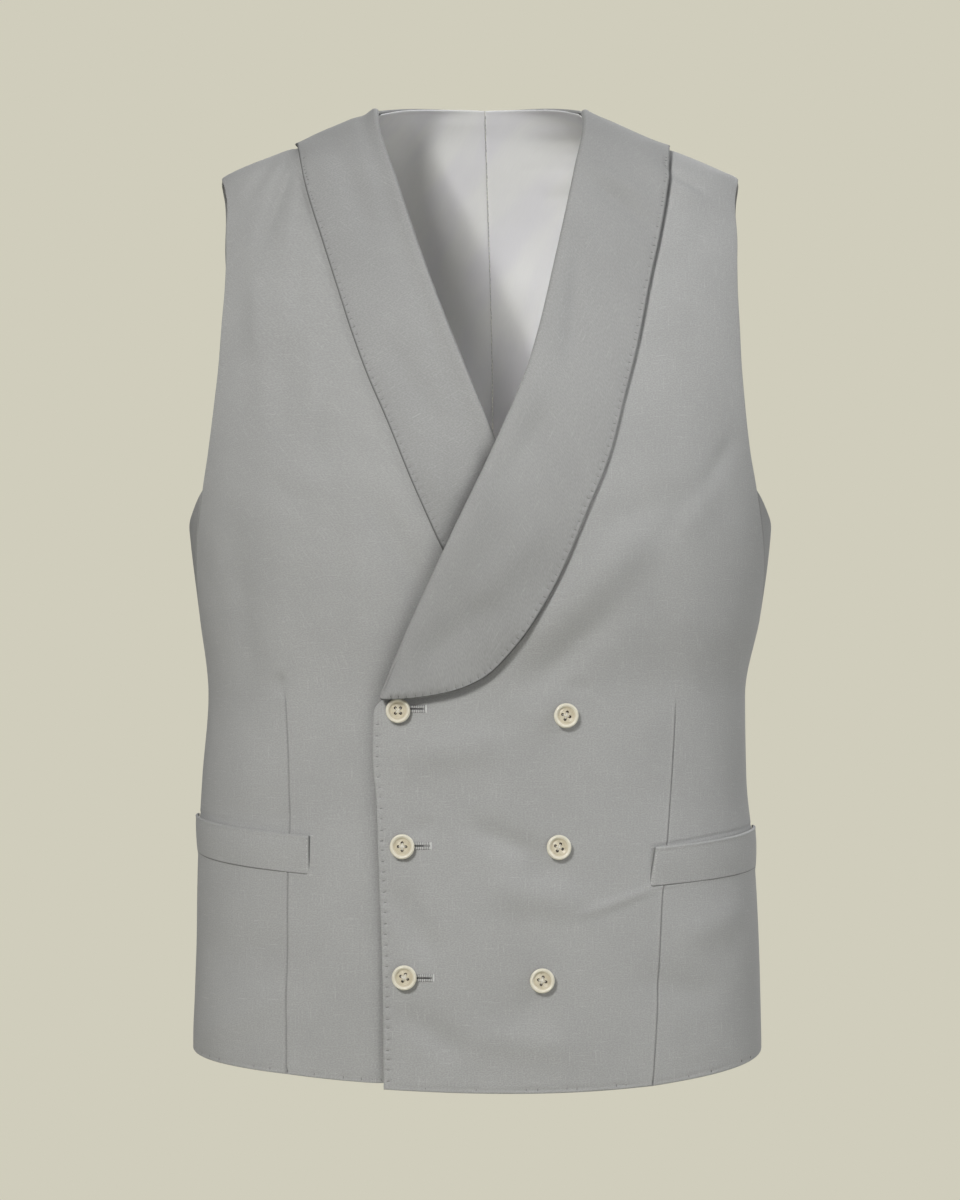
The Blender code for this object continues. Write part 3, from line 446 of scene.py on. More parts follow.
dipReach = curvesOf("height reach", fronts["dips"]["reach"], "height")["reach"]


def foldLift(points, folds):
    lift = np.zeros(points.shape[:-1])
    for x, height, halfLength, halfWidth, tilt, rise in folds:
        lean = math.radians(tilt)
        dx, dz = points[..., 0] - x, points[..., 2] - height
        along = dz * math.cos(lean) + dx * math.sin(lean)
        across = dx * math.cos(lean) - dz * math.sin(lean)
        lift += rise * np.exp(-((along / halfLength) ** 4)) * bell(across, halfWidth)
    return lift


def frontLift(side, turn, height):  # the outer face of a front above the form
    points = formPoint(turn, height)
    lift = foldLift(points, fronts["folds"][side]) * fronts["foldDepth"]
    if side == "left":
        lift += overlapCurve(height) * (1 - ease(*fronts["overlapSettles"], points[..., 0]))
    else:
        beside = (points[..., 0] - edgeCurve["left"](height)) / dipReach(height)
        lift -= fronts["dips"]["depth"] * np.clip(1 + beside, 0, fronts["dips"]["most"]) ** 2
    depth, fromTurn, toTurn = fronts["seamSinks"]
    return lift - depth * ease(fromTurn, toTurn, np.abs(turn)) * ease(*fronts["seamSinkHeights"], height)


lapels = {
    "wall": 0.0016,
    "columns": "up rollHeight edgeX edgeHeight stand",
    "rows": {
        "left": (
            (0.00, -0.3728, -0.0588, -0.3762, 0.0026), (0.05, -0.3650, -0.0410, -0.3752, 0.0044),
            (0.11, -0.3530, -0.0180, -0.3712, 0.0042), (0.18, -0.3330, 0.0020, -0.3627, 0.0030),
            (0.26, -0.3090, 0.0240, -0.3400, 0.0017), (0.35, -0.2760, 0.0458, -0.3045, 0.0009),
            (0.45, -0.2410, 0.0642, -0.2620, 0.0006), (0.55, -0.2090, 0.0780, -0.2280, 0.0004),
            (0.65, -0.1750, 0.0875, -0.1920, 0.0003), (0.75, -0.1340, 0.0968, -0.1560, 0.0003),
            (0.84, -0.0950, 0.1049, -0.1170, 0.0003), (0.91, -0.0590, 0.1124, -0.0830, 0.0006),
            (0.965, -0.0270, 0.1170, -0.0540, 0.0010), (1.00, -0.0025, 0.1195, -0.0275, 0.0004),
        ),
        "right": (
            (0.00, -0.2380, -0.0120, -0.3090, 0.0), (0.12, -0.2150, -0.0275, -0.2750, 0.0),
            (0.25, -0.1860, -0.0430, -0.2400, 0.0003), (0.38, -0.1600, -0.0568, -0.2060, 0.0004),
            (0.50, -0.1370, -0.0685, -0.1790, 0.0004), (0.62, -0.1120, -0.0788, -0.1510, 0.0004),
            (0.73, -0.0870, -0.0879, -0.1230, 0.0004), (0.84, -0.0620, -0.0979, -0.0920, 0.0004),
            (0.95, -0.0330, -0.1068, -0.0640, 0.0006), (1.00, -0.0025, -0.1160, -0.0260, 0.0003),
        ),
    },
    "gap": 0.0005,  # under the lapel where it lies flat
    "shoulderLift": 0.0003,
    "shoulderFrom": (-0.085, -0.030),
    "rollRise": 0.0003,
    "rollRadius": 0.00235,
    "swell": {"right": (0.0016, 0.0028, 0.0056), "left": (0.0019, 0.0085, 0.0100)},  # rise, place, half width
    "hollow": {"right": (0.0011, 0.0090, 0.0048), "left": (0.0, 0.0084, 0.0042)},  # beside the roll
    "crossingClear": 0.016,
    "belly": 2.6,  # where the lapel stands off, how far its middle bows out past its edge
    "imprint": (0.0016, 0.0025),  # how deep and how wide its outer edge presses into the front
    "edgeSamples": 900,
    "crease": {"right": (0.75, 0.75), "left": (0.95, 0.40)},  # painted shade on its outer edge: how dark, low and high
    "paintedShadeFades": (0.25, 0.45),
    "paintedShadeEnds": (0.0006, 0.0013),
    "contactShadow": {"right": 0.0, "left": 0.95},  # painted shadow on the front beside its outer edge: how dark
    "contactShadowHalf": 0.0024,
    "contactShadowEnds": (-0.345, -0.300),  # the heights where that is full and none
    "rollPoints": 13,  # the columns round the turned roll
    "flatPoints": 30,  # even columns on the flat part, both ends counted
    "flatLeast": 0.004,
    "facingFrom": 20,  # the columns from this one on tell which way is out
    "evenRows": {"right": (0.009, 0.991, 310), "left": (0.009, 0.991, 400)},
    "endRowsWiden": 1.6,
}


def acrossRoll(side, height, start, end):  # how far a row runs for each metre straight away from the roll
    step, least = 0.002, 0.5
    low, high = (formPoint(turnAt(edgeCurve[side](z), z), z) for z in (height - step, height))
    along = (high - low) / np.linalg.norm(high - low, axis=-1, keepdims=True)
    away = formPoint(end[..., 0], end[..., 1]) - formPoint(start[..., 0], start[..., 1])
    away /= np.maximum(np.linalg.norm(away, axis=-1, keepdims=True), 1e-9)
    return 1 / np.maximum(np.linalg.norm(np.cross(along, away), axis=-1), least)


def frontAnchors(side, ups):
    curves = rowCurves[side]
    edgeHeight, dartHeight = curves["edgeHeight"](ups), curves["dartHeight"](ups)
    edge = np.stack((turnAt(edgeCurve[side](edgeHeight), edgeHeight), edgeHeight), axis=-1)
    dart = np.stack((turnAt(curves["dartX"](ups), dartHeight), dartHeight), axis=-1)
    outer = np.stack((signOf[side] * sideCurves["turn"](ups), sideCurves["height"](ups)), axis=-1)
    return np.stack((edge, dart, outer), axis=1)


def frontPlaces(side, ups, fromEdge=None):  # rows of places, or only those at these distances from the edge
    anchors = frontAnchors(side, ups)
    path = pathThrough(anchors)
    toDart, toSide = path[2][:, 0], path[2][:, 1]
    if fromEdge is None:
        tuck = (lapels["rollRadius"] + 2 * cloth["seamGap"]) * ease(*fronts["rollStarts"], ups)
        tuck = tuck * acrossRoll(side, anchors[:, 0, 1], anchors[:, 0], anchors[:, 1])
        toDartCount, toSideCount = fronts["columns"]
        first = spread(tuck, toDart, crowd["edge"], toDartCount, crowd["dart"])
        seam = toDart + toSide - cloth["seamGap"] / 2
        second = spread(toDart, seam, crowd["dart"][1:], toSideCount, crowd["seam"])
        distances = np.concatenate((first, second), axis=1)
    else:
        distances = np.broadcast_to(fromEdge, (len(ups), np.shape(fromEdge)[-1])).astype(float)
    places = towardsSeam(placesAt(path, distances), ups, cloth["shoulderForward"])
    bow = fronts["hemDip"] * (1 - ease(0, fronts["hemDipEnds"], ups))
    share = np.clip(distances / toDart[:, None], 0, 1)
    turn, height = places[..., 0], places[..., 1] - bow[:, None] * np.sin(math.pi * share)
    return turn, height, distances - toDart[:, None]


def clothFront(side, materials, lines):
    ups = rowsOf((0,), (1,), fronts["evenRows"][side])
    turn, height, pastDart = frontPlaces(side, ups)
    lift = frontLift(side, turn, height)
    outer = onForm(turn, height, lift).reshape(-1, 3)
    middle, index, outward, uv = onePatch(turn, height, lift - cloth["wall"] / 2)
    dartShows = (1 - ease(*fronts["dartFades"], ups))[:, None]
    fromLapel = distanceToLapel(side, outer)
    depth, half = lapels["imprint"]
    press = (dartPress(side, pastDart) * dartShows).ravel()
    press = press + besideWelt(side, outer) - depth * bell(fromLapel, half)
    for line in lines:
        press = press + stitchPress(middle, line)
    # painted shade along the dart's sewn line
    shade, half = fronts["dartShade"]
    paintedDartShade = (shade * bell(pastDart, half) * dartShows).ravel()
    # painted shadow on the front just outside the lapel's outer edge, full low down and gone higher up
    contactShadow = lapels["contactShadow"][side] * bell(fromLapel, lapels["contactShadowHalf"])
    crease = np.maximum(contactShadow * (1 - ease(*lapels["contactShadowEnds"], middle[:, 2])), paintedDartShade)
    return clothShell("cloth_front_" + side, middle, [index], outward, uv, cloth["wall"], materials,
                      press, crease)


def frontSurface(side, x, height, above=0.0):  # points on a front's outer face, and the way it faces
    turn = turnAt(np.asarray(x, float), np.asarray(height, float))
    facing = formNormal(turn, height)
    return onForm(turn, height, frontLift(side, turn, height) + above), facing


def dartPress(side, across):  # a thin sewn line: a crease with its folded lip towards the wearer's right
    depth, halfWidth = fronts["dartCrease"]
    rise, lipHalf, beside = fronts["dartLip"]
    return depth * bell(across, halfWidth) + rise * bell(across + signOf[side] * beside, lipHalf)


# Hand stitches. A line holds where each stitch lies, the way it runs and the way the cloth faces there.
stitching = {
    "edgeInset": 0.0028,
    "edgeSpacing": 0.0064,
    "lapelInset": 0.0025,
    "lapelSpacing": 0.0050,
    "lapelCloser": 0.0030,  # the spacing near the shoulder
    "lapelCloserFrom": 0.90,
    "hemInset": 0.0028,
    "hemSpacing": 0.0062,
    "dimpleDepth": 0.00080,
    "dimpleAlong": 0.0009,
    "dimpleAcross": 0.0019,
    "furrow": 0.22,  # the share of a dimple's depth that the line keeps between stitches
    "furrowAcross": 0.0010,
    "drawsIn": 0.005,  # no further than this from a stitch
    "wander": 0.00025,
    "unsteady": 0.10,  # a share of the spacing
    "stitch": (0.0023, 0.00055, 0.00066),  # length, thickness, and how far down it lies in its dimple
    "edgeRun": (0.004, 0.002, 700),  # from the hem, to this far below the roll, and points between
    "hemRun": (0.004, 0.30, 900),  # from the edge, to the side, and points between
    "frontLength": 0.62,
    "lapelStarts": {"left": 0.012, "right": 0.0},
    "lapelEnds": 0.990,
    "lapelPoints": (800, 200),
    "lapelClear": 0.0015,  # of both ends of a run
    "lapelLeast": 0.45,  # a share of the lapel's width
}
chance = np.random.default_rng(7)


def stitchesAlong(points, normals, spacing, inset=0.0):  # evenly spaced, a little unsteady, by hand
    reach = np.concatenate(((0,), np.cumsum(np.linalg.norm(np.diff(points, axis=0), axis=1))))
    count = int((reach[-1] - 2 * inset) / spacing)
    at = inset + spacing * (np.arange(count) + 0.5)
    at = at + chance.uniform(-stitching["unsteady"], stitching["unsteady"], count) * spacing
    ahead = 0.0006

    def read(rows, at):
        return np.stack([np.interp(at, reach, rows[:, i]) for i in range(3)], axis=1)

    place, facing = read(points, at), read(normals, at)
    facing /= np.linalg.norm(facing, axis=1, keepdims=True)
    along = read(points, at + ahead) - place
    along /= np.linalg.norm(along, axis=1, keepdims=True)
    side = np.cross(facing, along)
    place = place + side * chance.uniform(-1, 1, (count, 1)) * stitching["wander"]
    return {"place": place, "along": along, "facing": facing}


def stitchPress(points, line):  # each stitch draws the cloth in, more across its line than along it
    tree = treeOf(line["place"])
    near = np.array([tree.find(point)[1:] for point in points])
    press = np.zeros(len(points))
    close = near[:, 1] < stitching["drawsIn"]
    which = near[close, 0].astype(int)
    offset = points[close] - line["place"][which]
    along = (offset * line["along"][which]).sum(axis=1)
    across = (offset * np.cross(line["facing"], line["along"])[which]).sum(axis=1)
    furrow = stitching["furrow"] * bell(across, stitching["furrowAcross"])
    press[close] = -stitching["dimpleDepth"] * np.maximum(
        furrow, bell(along, stitching["dimpleAlong"]) * bell(across, stitching["dimpleAcross"]))
    return press


def besideWelt(side, points):  # the cloth sinks at the pocket's mouth, and rises along the welt's lower seam
    topX, top, bottomX, bottom, endTurn, endTop, endBottom = welts[side]
    x = signOf[side] * points[:, 0]
    endX = abs(formPoint(np.array(endTurn), np.array(endTop))[0])
    along = np.clip((x - topX) / (endX - topX), 0, 1)
    aboveTop = points[:, 2] - top - (endTop - top) * along
    underBottom = bottom + (endBottom - bottom) * along - points[:, 2]
    before, after = welts["reliefStarts"]
    inside = ease(topX - before, topX + after, x)
    (depth, mouthHalf, mouthAt), (rise, seamHalf, seamAt) = welts["mouth"], welts["seam"]
    ridge, dip = rise * bell(underBottom - seamAt, seamHalf), depth * bell(aboveTop - mouthAt, mouthHalf)
    return inside * (ridge - dip)


def distanceToLapel(side, points):  # how far they are from the lapel's outer edge
    rows = lapelCurves[side]
    ups = np.linspace(0, 1, lapels["edgeSamples"])
    heights = rows["edgeHeight"](ups)
    tree = treeOf(formPoint(turnAt(rows["edgeX"](ups), heights), heights))
    return np.array([tree.find(point)[2] for point in points])


def frontStitches(side, turn, height, spacing):
    points = onForm(turn, height, frontLift(side, turn, height))
    return stitchesAlong(points, formNormal(turn, height), spacing)


def frontEdgeStitches():
    start, short, count = stitching["edgeRun"]
    ups = np.linspace(start, fronts["rollStarts"][0] - short, count)
    turn, height, _ = frontPlaces("left", ups, fromEdge=[stitching["edgeInset"]])
    return frontStitches("left", turn[:, 0], height[:, 0], stitching["edgeSpacing"])


def hemStitches(side):
    ups = np.array([stitching["hemInset"] / stitching["frontLength"]])
    turn, height, _ = frontPlaces(side, ups, fromEdge=np.linspace(*stitching["hemRun"]))
    turn, height = turn[0], height[0]
    onPiece = np.concatenate(((True,), np.abs(np.diff(turn)) > 1e-6))  # past the side seam nothing moves on
    return frontStitches(side, turn[onPiece], height[onPiece], stitching["hemSpacing"])


# The backs and the linings inside them: under the arm they run to the side seam, above it to the armhole.
back = {
    "lineColumns": "up centreHeight turn height",
    "below": (
        (0.00, -0.5980, 1.300, -0.5985), (0.20, -0.4880, 1.290, -0.4890),
        (0.40, -0.3720, 1.270, -0.3720), (0.52, -0.3100, 1.220, -0.3060),
        (0.60, -0.2700, 1.170, -0.2655),
    ),
    "above": (
        (0.60, -0.2700, 1.550, -0.2690), (0.70, -0.1960, 1.540, -0.1960),
        (0.80, -0.1200, 1.530, -0.1200), (0.88, -0.0680, 1.520, -0.0690),
        (0.94, -0.0290, 1.460, -0.0350), (0.97, -0.0100, 1.360, -0.0190),
        (0.985, -0.0020, 1.220, -0.0105), (1.00, 0.0053, 0.985, -0.0022),
    ),
    "armhole": (
        (0.60, 1.170, -0.2655), (0.66, 1.255, -0.2380), (0.72, 1.300, -0.2050),
        (0.79, 1.325, -0.1600), (0.86, 1.325, -0.1150), (0.92, 1.270, -0.0800),
        (0.96, 1.200, -0.0600), (0.98, 1.120, -0.0520), (1.00, 0.985, -0.0462),
    ),
    "centreSeam": ((0.0060, 0.0033), (-0.2000, 0.0085), (-0.6000, 0.0040)),  # height and x
    "neckBow": 0.0036,
    "neckBowFrom": 0.93,
    "underarmDip": ((0.0, 0.0), (0.18, 0.0100), (0.40, 0.0142), (0.75, 0.0095), (1.0, 0.0)),
    "underarmDipFrom": 0.40,
    "underarm": 0.60,
    "columnsMeet": 0.80,  # below this the columns spread evenly, as under the arm
    "columns": (33, 14, 14),  # even ones: to the middle line, on to the side, and to that line above
    "rowsBelow": ((0,), (0.6,), ((0.006, 0.594, 130),)),  # crowded from here, up to here, and even
    "rowsAbove": ((), (1,), ((0.6035, 0.9945, 110),)),
    "edge": cloth["seamGap"] / 2,  # how far it stops short of the side seam
    "foldRise": 2.2,  # its folds stand out this much more than written below, and sink as written
    "folds": {  # as in the fronts
        "right": (
            (-0.060, -0.390, 0.070, 0.0160, 12, 0.0016), (-0.098, -0.372, 0.060, 0.0120, 16, -0.0014),
            (-0.125, -0.300, 0.050, 0.0110, 52, -0.0013), (-0.108, -0.262, 0.044, 0.0100, 58, 0.0011),
            (-0.070, -0.105, 0.040, 0.0100, 100, -0.0009), (-0.110, -0.075, 0.026, 0.0070, 118, 0.0008),
            (-0.040, -0.480, 0.060, 0.0140, -6, -0.0011), (-0.120, -0.505, 0.055, 0.0150, 8, 0.0013),
            (-0.030, -0.330, 0.028, 0.0080, 94, -0.0008),
        ),
        "left": (
            (0.066, -0.402, 0.075, 0.0150, -10, 0.0015), (0.104, -0.385, 0.056, 0.0130, -18, -0.0013),
            (0.128, -0.292, 0.046, 0.0120, -50, -0.0012), (0.102, -0.270, 0.050, 0.0090, -60, 0.0010),
            (0.076, -0.112, 0.036, 0.0110, 78, -0.0010), (0.118, -0.080, 0.024, 0.0065, 60, 0.0008),
            (0.046, -0.500, 0.070, 0.0130, 5, -0.0012), (0.128, -0.488, 0.050, 0.0160, -7, 0.0012),
            (0.038, -0.318, 0.030, 0.0075, 88, -0.0008),
        ),
    },
}
lining = {
    "wall": 0.0010,
    "edge": 0.0090,  # how far it stops short of the armhole
    "gap": 0.0014,
    "neckGap": 0.0005,
    "neckFrom": (-0.035, -0.008),
    "neckRise": 0.0012,  # it covers the back's edge at the neck
    "neckRiseFrom": (-0.003, 0.004),
    "columns": (30, 10, 16),  # as in the back
    "rowsBelow": ((0.012,), (0.585,), ((0.018, 0.579, 60),)),
    "rowsAbove": ((), (1,), ((0.64, 0.9945, 150),)),
    "seamSpacing": 0.0029,
    "seamRun": (0.004, -0.250, 400),  # heights where the stitches begin and end, and points between
    "stitch": (0.0026, 0.00050, 0.00008),  # length, thickness and how far down
    "droop": 0.0014,
    "droopFrom": (-0.090, -0.050),
    "droopAcross": (0.100, 0.130),
    "foldsFrom": (0.004, 0.030),  # how far below the top they begin and are full
    "folds": {  # as in the fronts, but all rise from the visible face
        "right": (
            (-0.045, -0.150, 0.060, 0.0100, 8, 0.0010), (-0.022, -0.110, 0.040, 0.0070, 4, -0.0007),
            (-0.028, -0.215, 0.036, 0.0080, -14, 0.0008), (-0.100, -0.330, 0.080, 0.0160, 6, 0.0016),
            (-0.060, -0.450, 0.090, 0.0140, -4, -0.0013),
        ),
        "left": (
            (0.040, -0.130, 0.050, 0.0090, -9, -0.0009), (0.020, -0.125, 0.030, 0.0050, 24, -0.0010),
            (0.028, -0.200, 0.036, 0.0080, 12, 0.0008), (0.066, -0.034, 0.022, 0.0100, 70, -0.0016),
            (0.104, -0.350, 0.080, 0.0150, -6, 0.0014), (0.062, -0.460, 0.080, 0.0150, 5, -0.0012),
        ),
    },
}
belowCurves = curvesOf(back["lineColumns"], back["below"], "up")
aboveCurves = curvesOf(back["lineColumns"], back["above"], "up")
armholeCurves = curvesOf("up turn height", back["armhole"], "up")
centreSeam = curvesOf("height x", back["centreSeam"], "height")["x"]
underarmDip = curvesOf("share drop", back["underarmDip"], "share")["drop"]


def centreTurn(sign, height):  # where the centre seam is
    share = centreSeam(height) / formCurves["left"](height)
    return sign * 2 - np.arcsin(share ** (form["backRound"] / 2)) * 2 / math.pi


def backAnchors(sign, ups, line, edge):
    height = line["centreHeight"](ups)
    centre = np.stack((centreTurn(sign, height), height), axis=-1)
    middle = np.stack((sign * line["turn"](ups), line["height"](ups)), axis=-1)
    outer = np.stack((sign * edge["turn"](ups), edge["height"](ups)), axis=-1)
    return np.stack((centre, middle, outer), axis=1)


def backPlaces(sign, piece):  # rows of places under the arm, and above it
    belowUps, aboveUps = rowsOf(*piece["rowsBelow"]), rowsOf(*piece["rowsAbove"])
    toMiddleCount, toSideCount, toNeckCount = piece["columns"]
    start, margin = cloth["seamGap"] / 2, piece["edge"]
    seam, edge, kink = crowd["seam"], crowd["edge"], crowd["kink"]
    path = pathThrough(backAnchors(sign, belowUps, belowCurves, sideCurves))
    toMiddle, toSide = path[2].T
    first = spread(start, toMiddle, seam, toMiddleCount, edge)
    second = spread(toMiddle, toMiddle + toSide - margin, edge[1:], toSideCount, seam)
    distances = np.concatenate((first, second), axis=1)
    below = placesAt(path, distances)
    show = ease(back["underarmDipFrom"], back["underarm"], belowUps)[:, None]
    past = np.clip((distances - toMiddle[:, None]) / toSide[:, None], 0, 1)
    below[..., 1] -= show * underarmDip(past)
    path = pathThrough(backAnchors(sign, aboveUps, aboveCurves, armholeCurves))
    toNeck, toEdge = path[2].T
    toEdgeCount = first.shape[1] - toNeckCount - len(seam) - 2 * len(kink) + 1 - len(edge)
    first = spread(start, toNeck, seam, toNeckCount, kink)
    second = spread(toNeck, toNeck + toEdge - margin, kink[1:], toEdgeCount, edge)
    even = spread(start, toNeck + toEdge - margin, seam, toMiddleCount, edge)
    share = ease(back["underarm"], back["columnsMeet"], aboveUps)[:, None]
    above = placesAt(path, even + (np.concatenate((first, second), axis=1) - even) * share)
    bow = back["neckBow"] * ease(back["neckBowFrom"], 1.0, aboveUps)[:, None]
    above[:, :first.shape[1], 1] += bow * np.sin(math.pi * first / toNeck[:, None])
    seamed = towardsSeam(above, aboveUps, cloth["shoulderForward"] - cloth["seamGap"])
    above[:, first.shape[1]:] = seamed[:, first.shape[1]:]
    return below, above


def twoPatches(side, piece):  # its places, the grids of both patches, which share a row, and the weave map
    below, above = backPlaces(signOf[side], piece)
    belowIndex = np.arange(below[..., 0].size).reshape(below.shape[:2])
    aboveIndex = belowIndex.size + np.arange(above[..., 0].size).reshape(above.shape[:2])
    aboveIndex = np.concatenate((belowIndex[-1:, :above.shape[1]], aboveIndex))
    turn, height = np.concatenate((below.reshape(-1, 2), above.reshape(-1, 2))).T
    points = formPoint(turn, height)
    uv = np.stack((points[:, 0] + points[:, 1], height), axis=-1)
    return turn, height, [belowIndex, aboveIndex], uv


def clothBack(side, materials):
    turn, height, grids, uv = twoPatches(side, back)
    relief = foldLift(formPoint(turn, height), back["folds"][side])
    relief = np.where(relief > 0, relief * back["foldRise"], relief)
    middle = onForm(turn, height, relief - cloth["wall"] / 2)
    outward = formNormal(turn, height)
    return clothShell("cloth_back_" + side, middle, grids, outward, uv, cloth["wall"], materials)


def liningLift(turn, height):
    outward = ease(*lining["droopAcross"], np.abs(formPoint(turn, height)[..., 0]))
    droop = lining["droop"] * ease(*lining["droopFrom"], height) * outward
    neck = ease(*lining["neckFrom"], height) * (1 - outward)
    return -cloth["wall"] - droop - lining["gap"] + (lining["gap"] - lining["neckGap"]) * neck


def liningRelief(side, turn, height):
    relief = np.abs(foldLift(formPoint(turn, height), lining["folds"][side]))
    return relief * ease(*lining["foldsFrom"], -height)


def liningSeamStitches():  # down the centre seam, on the lining's visible face
    heights = np.linspace(*lining["seamRun"])
    turn = centreTurn(1, heights)
    lift = liningLift(turn, heights) - liningRelief("left", turn, heights) - lining["wall"]
    facing = -formNormal(turn, heights)
    return stitchesAlong(onForm(turn, heights, lift), facing, lining["seamSpacing"])


def clothLining(side, materials):
    turn, height, grids, uv = twoPatches(side, lining)
    relief = liningRelief(side, turn, height)
    middle = onForm(turn, height, liningLift(turn, height) - relief - lining["wall"] / 2)
    middle[:, 2] += lining["neckRise"] * ease(*lining["neckRiseFrom"], height)
    inward = -formNormal(turn, height)
    return clothShell("lining_" + side, middle, grids, inward, uv, lining["wall"], materials)


# The lapels: a turned roll along the front's edge, then cloth lying on the front to the outer edge.
lapelCurves = {side: curvesOf(lapels["columns"], lapels["rows"][side], "up") for side in signOf}


def lapelPlaces(side, ups):
    curves = lapelCurves[side]
    rollHeight, edgeHeight = curves["rollHeight"](ups), curves["edgeHeight"](ups)
    start = np.stack((turnAt(edgeCurve[side](rollHeight), rollHeight), rollHeight), axis=-1)
    end = np.stack((turnAt(curves["edgeX"](ups), edgeHeight), edgeHeight), axis=-1)
    path = pathThrough(np.stack((start, end), axis=1))
    stretch = acrossRoll(side, rollHeight, start, end)
    width = path[2][:, 0] / stretch
    cover = np.zeros(len(ups))
    if side == "right":
        over = edgeCurve["left"](rollHeight) - formPoint(start[:, 0], start[:, 1])[:, 0]
        cover = 1 - ease(0, lapels["crossingClear"], over)
    shoulder = ease(*lapels["shoulderFrom"], rollHeight)
    radius = lapels["rollRadius"] - lapels["wall"] / 2
    rest = lapels["gap"] + lapels["wall"] / 2
    angles = np.radians(np.linspace(270, 90, lapels["rollPoints"]))
    hookDistance = lapels["rollRadius"] + radius * np.cos(angles)
    rise, swellAt, swellHalf = lapels["swell"][side]
    rise = rise * ((1 - cover) * (1 - shoulder))[:, None]
    top = rest + lapels["rollRise"] + rise * bell(lapels["rollRadius"] - swellAt, swellHalf)
    bottom = rest + lapels["rollRise"] - 2 * radius
    hookLift = (top + bottom) / 2 + (top - bottom) / 2 * np.sin(angles)
    usable = width - lapels["rollRadius"]
    near = np.array(crowd["besideRoll"]) - lapels["rollRadius"]
    far = np.array(crowd["edge"])
    squeeze = np.minimum(1, usable / (near[-1] + far[-1] + lapels["flatLeast"]))[:, None]
    low = lapels["rollRadius"] + near * squeeze
    high = width[:, None] - far[::-1] * squeeze
    share = np.linspace(0, 1, lapels["flatPoints"])[None, 1:-1]
    flatDistance = np.concatenate((low, low[:, -1:] + (high[:, :1] - low[:, -1:]) * share, high), axis=1)
    swell = rise * bell(flatDistance - swellAt, swellHalf)
    swell = swell + lapels["rollRise"] * bell(flatDistance - lapels["rollRadius"], swellHalf)
    reach = flatDistance / width[:, None]
    belly = reach + lapels["belly"] * reach * (1 - reach)
    flatLift = rest + swell + curves["stand"](ups)[:, None] * belly
    rows = len(ups)
    distance = np.concatenate((np.broadcast_to(hookDistance, (rows, len(angles))), flatDistance), axis=1)
    lift = np.concatenate((np.broadcast_to(hookLift, (rows, len(angles))), flatLift), axis=1)
    places = towardsSeam(placesAt(path, distance * stretch[:, None]), ups, cloth["shoulderForward"])
    turn, height = places[..., 0], places[..., 1]
    lift = lift + frontLift(side, turn, height) + (lapels["shoulderLift"] * shoulder)[:, None]
    return turn, height, lift, distance, width


def lapelStitches(side):  # along the outer edge, on the lapel's face
    closer, (many, few) = stitching["lapelCloserFrom"], stitching["lapelPoints"]
    low = np.linspace(stitching["lapelStarts"][side], closer, many)
    high = np.linspace(closer, stitching["lapelEnds"], few)
    return [lapelStitchLine(side, low, stitching["lapelSpacing"]),
            lapelStitchLine(side, high, stitching["lapelCloser"])]


def lapelStitchLine(side, ups, spacing):
    *grids, distance, width = lapelPlaces(side, ups)
    wanted = np.maximum(width - stitching["lapelInset"], width * stitching["lapelLeast"])
    flat = slice(lapels["rollPoints"], None)
    turn, height, lift = [
        np.array([np.interp(at, known[flat], row[flat]) for at, known, row in zip(wanted, distance, grid)])
        for grid in grids]
    points = onForm(turn, height, lift + lapels["wall"] / 2)
    return stitchesAlong(points, formNormal(turn, height), spacing, stitching["lapelClear"])


def clothLapel(side, materials, lines):
    ups = rowsOf((0,), (1,), (lapels["evenRows"][side],), lapels["endRowsWiden"])
    turn, height, lift, distance, width = lapelPlaces(side, ups)
    middle, index, outward, uv = onePatch(turn, height, lift)
    outward[index[:, :lapels["facingFrom"]].ravel()] = 0
    sinks, hollowAt, hollowHalf = lapels["hollow"][side]
    hollow = -sinks * bell(distance - hollowAt, hollowHalf)
    hollow[:, :lapels["rollPoints"]] = 0  # the turned roll keeps its form
    press = hollow.ravel()
    for line in lines:
        press = press + stitchPress(middle, line)
    # painted shade on the lapel's outer rim, darker low down
    low, high = lapels["crease"][side]
    shade = (low + (high - low) * ease(*lapels["paintedShadeFades"], ups))[:, None]
    crease = (shade * (1 - ease(*lapels["paintedShadeEnds"], width[:, None] - distance))).ravel()
    return clothShell("lapel_cloth_" + side, middle, [index], outward, uv, lapels["wall"], materials,
                      press, crease)


# The welts over the pockets.
welts = {
    "wall": 0.0015,
    "gap": 0.0004,
    "mouth": (0.0005, 0.0008, 0.0005),  # the front's dip above it: depth, half width, distance
    "seam": (0.0004, 0.0007, 0.0010),  # the front's ridge below it: rise, half width, distance
    "lean": (-0.0014, 0.0006),  # its bottom is sewn down close, its top stands off
    "endSinks": (0.0010, 0.0030),  # how far both ends are sewn down, and over what length
    "topRoll": (0.0004, 0.0008, 0.0009),  # its folded top edge: rise, half width, distance
    "reliefStarts": (0.001, 0.002),  # both fade in about its front end, from before it to past it
    "rows": 16,  # even ones, less two at each end
    "columns": 70,
    "stitch": (0.0009, 0.00050, 0.00004),  # length, thickness and how far down
    "stitchesIn": 0.0016,
    "stitchSpacing": 0.0017,
    "stitchRun": (0.07, 0.95, 200),  # shares of the way up, and points between
    "tacksAt": (-0.0016, -0.0009, -0.0002),  # from its front corners
    "tacksAbove": 0.0002,
    "tackLean": 0.5,
    "crease": 0.68,  # how dark the painted shade on its sewn bottom and front end is
    "paintedShadeEnds": (0.0005, 0.0011),
    # x and height of the front end's top and of its bottom, then the other end's turn, top and bottom
    "right": (0.1042, -0.4602, 0.1044, -0.4842, 0.965, -0.4512, -0.4748),
    "left": (0.1066, -0.4674, 0.1032, -0.4916, 0.965, -0.4588, -0.4846),
}


def weltLean(share):  # how far the welt stands off, from its bottom at 0 to its top at 1
    low, high = welts["lean"]
    return low + (high - low) * np.sin(share * math.pi / 2)


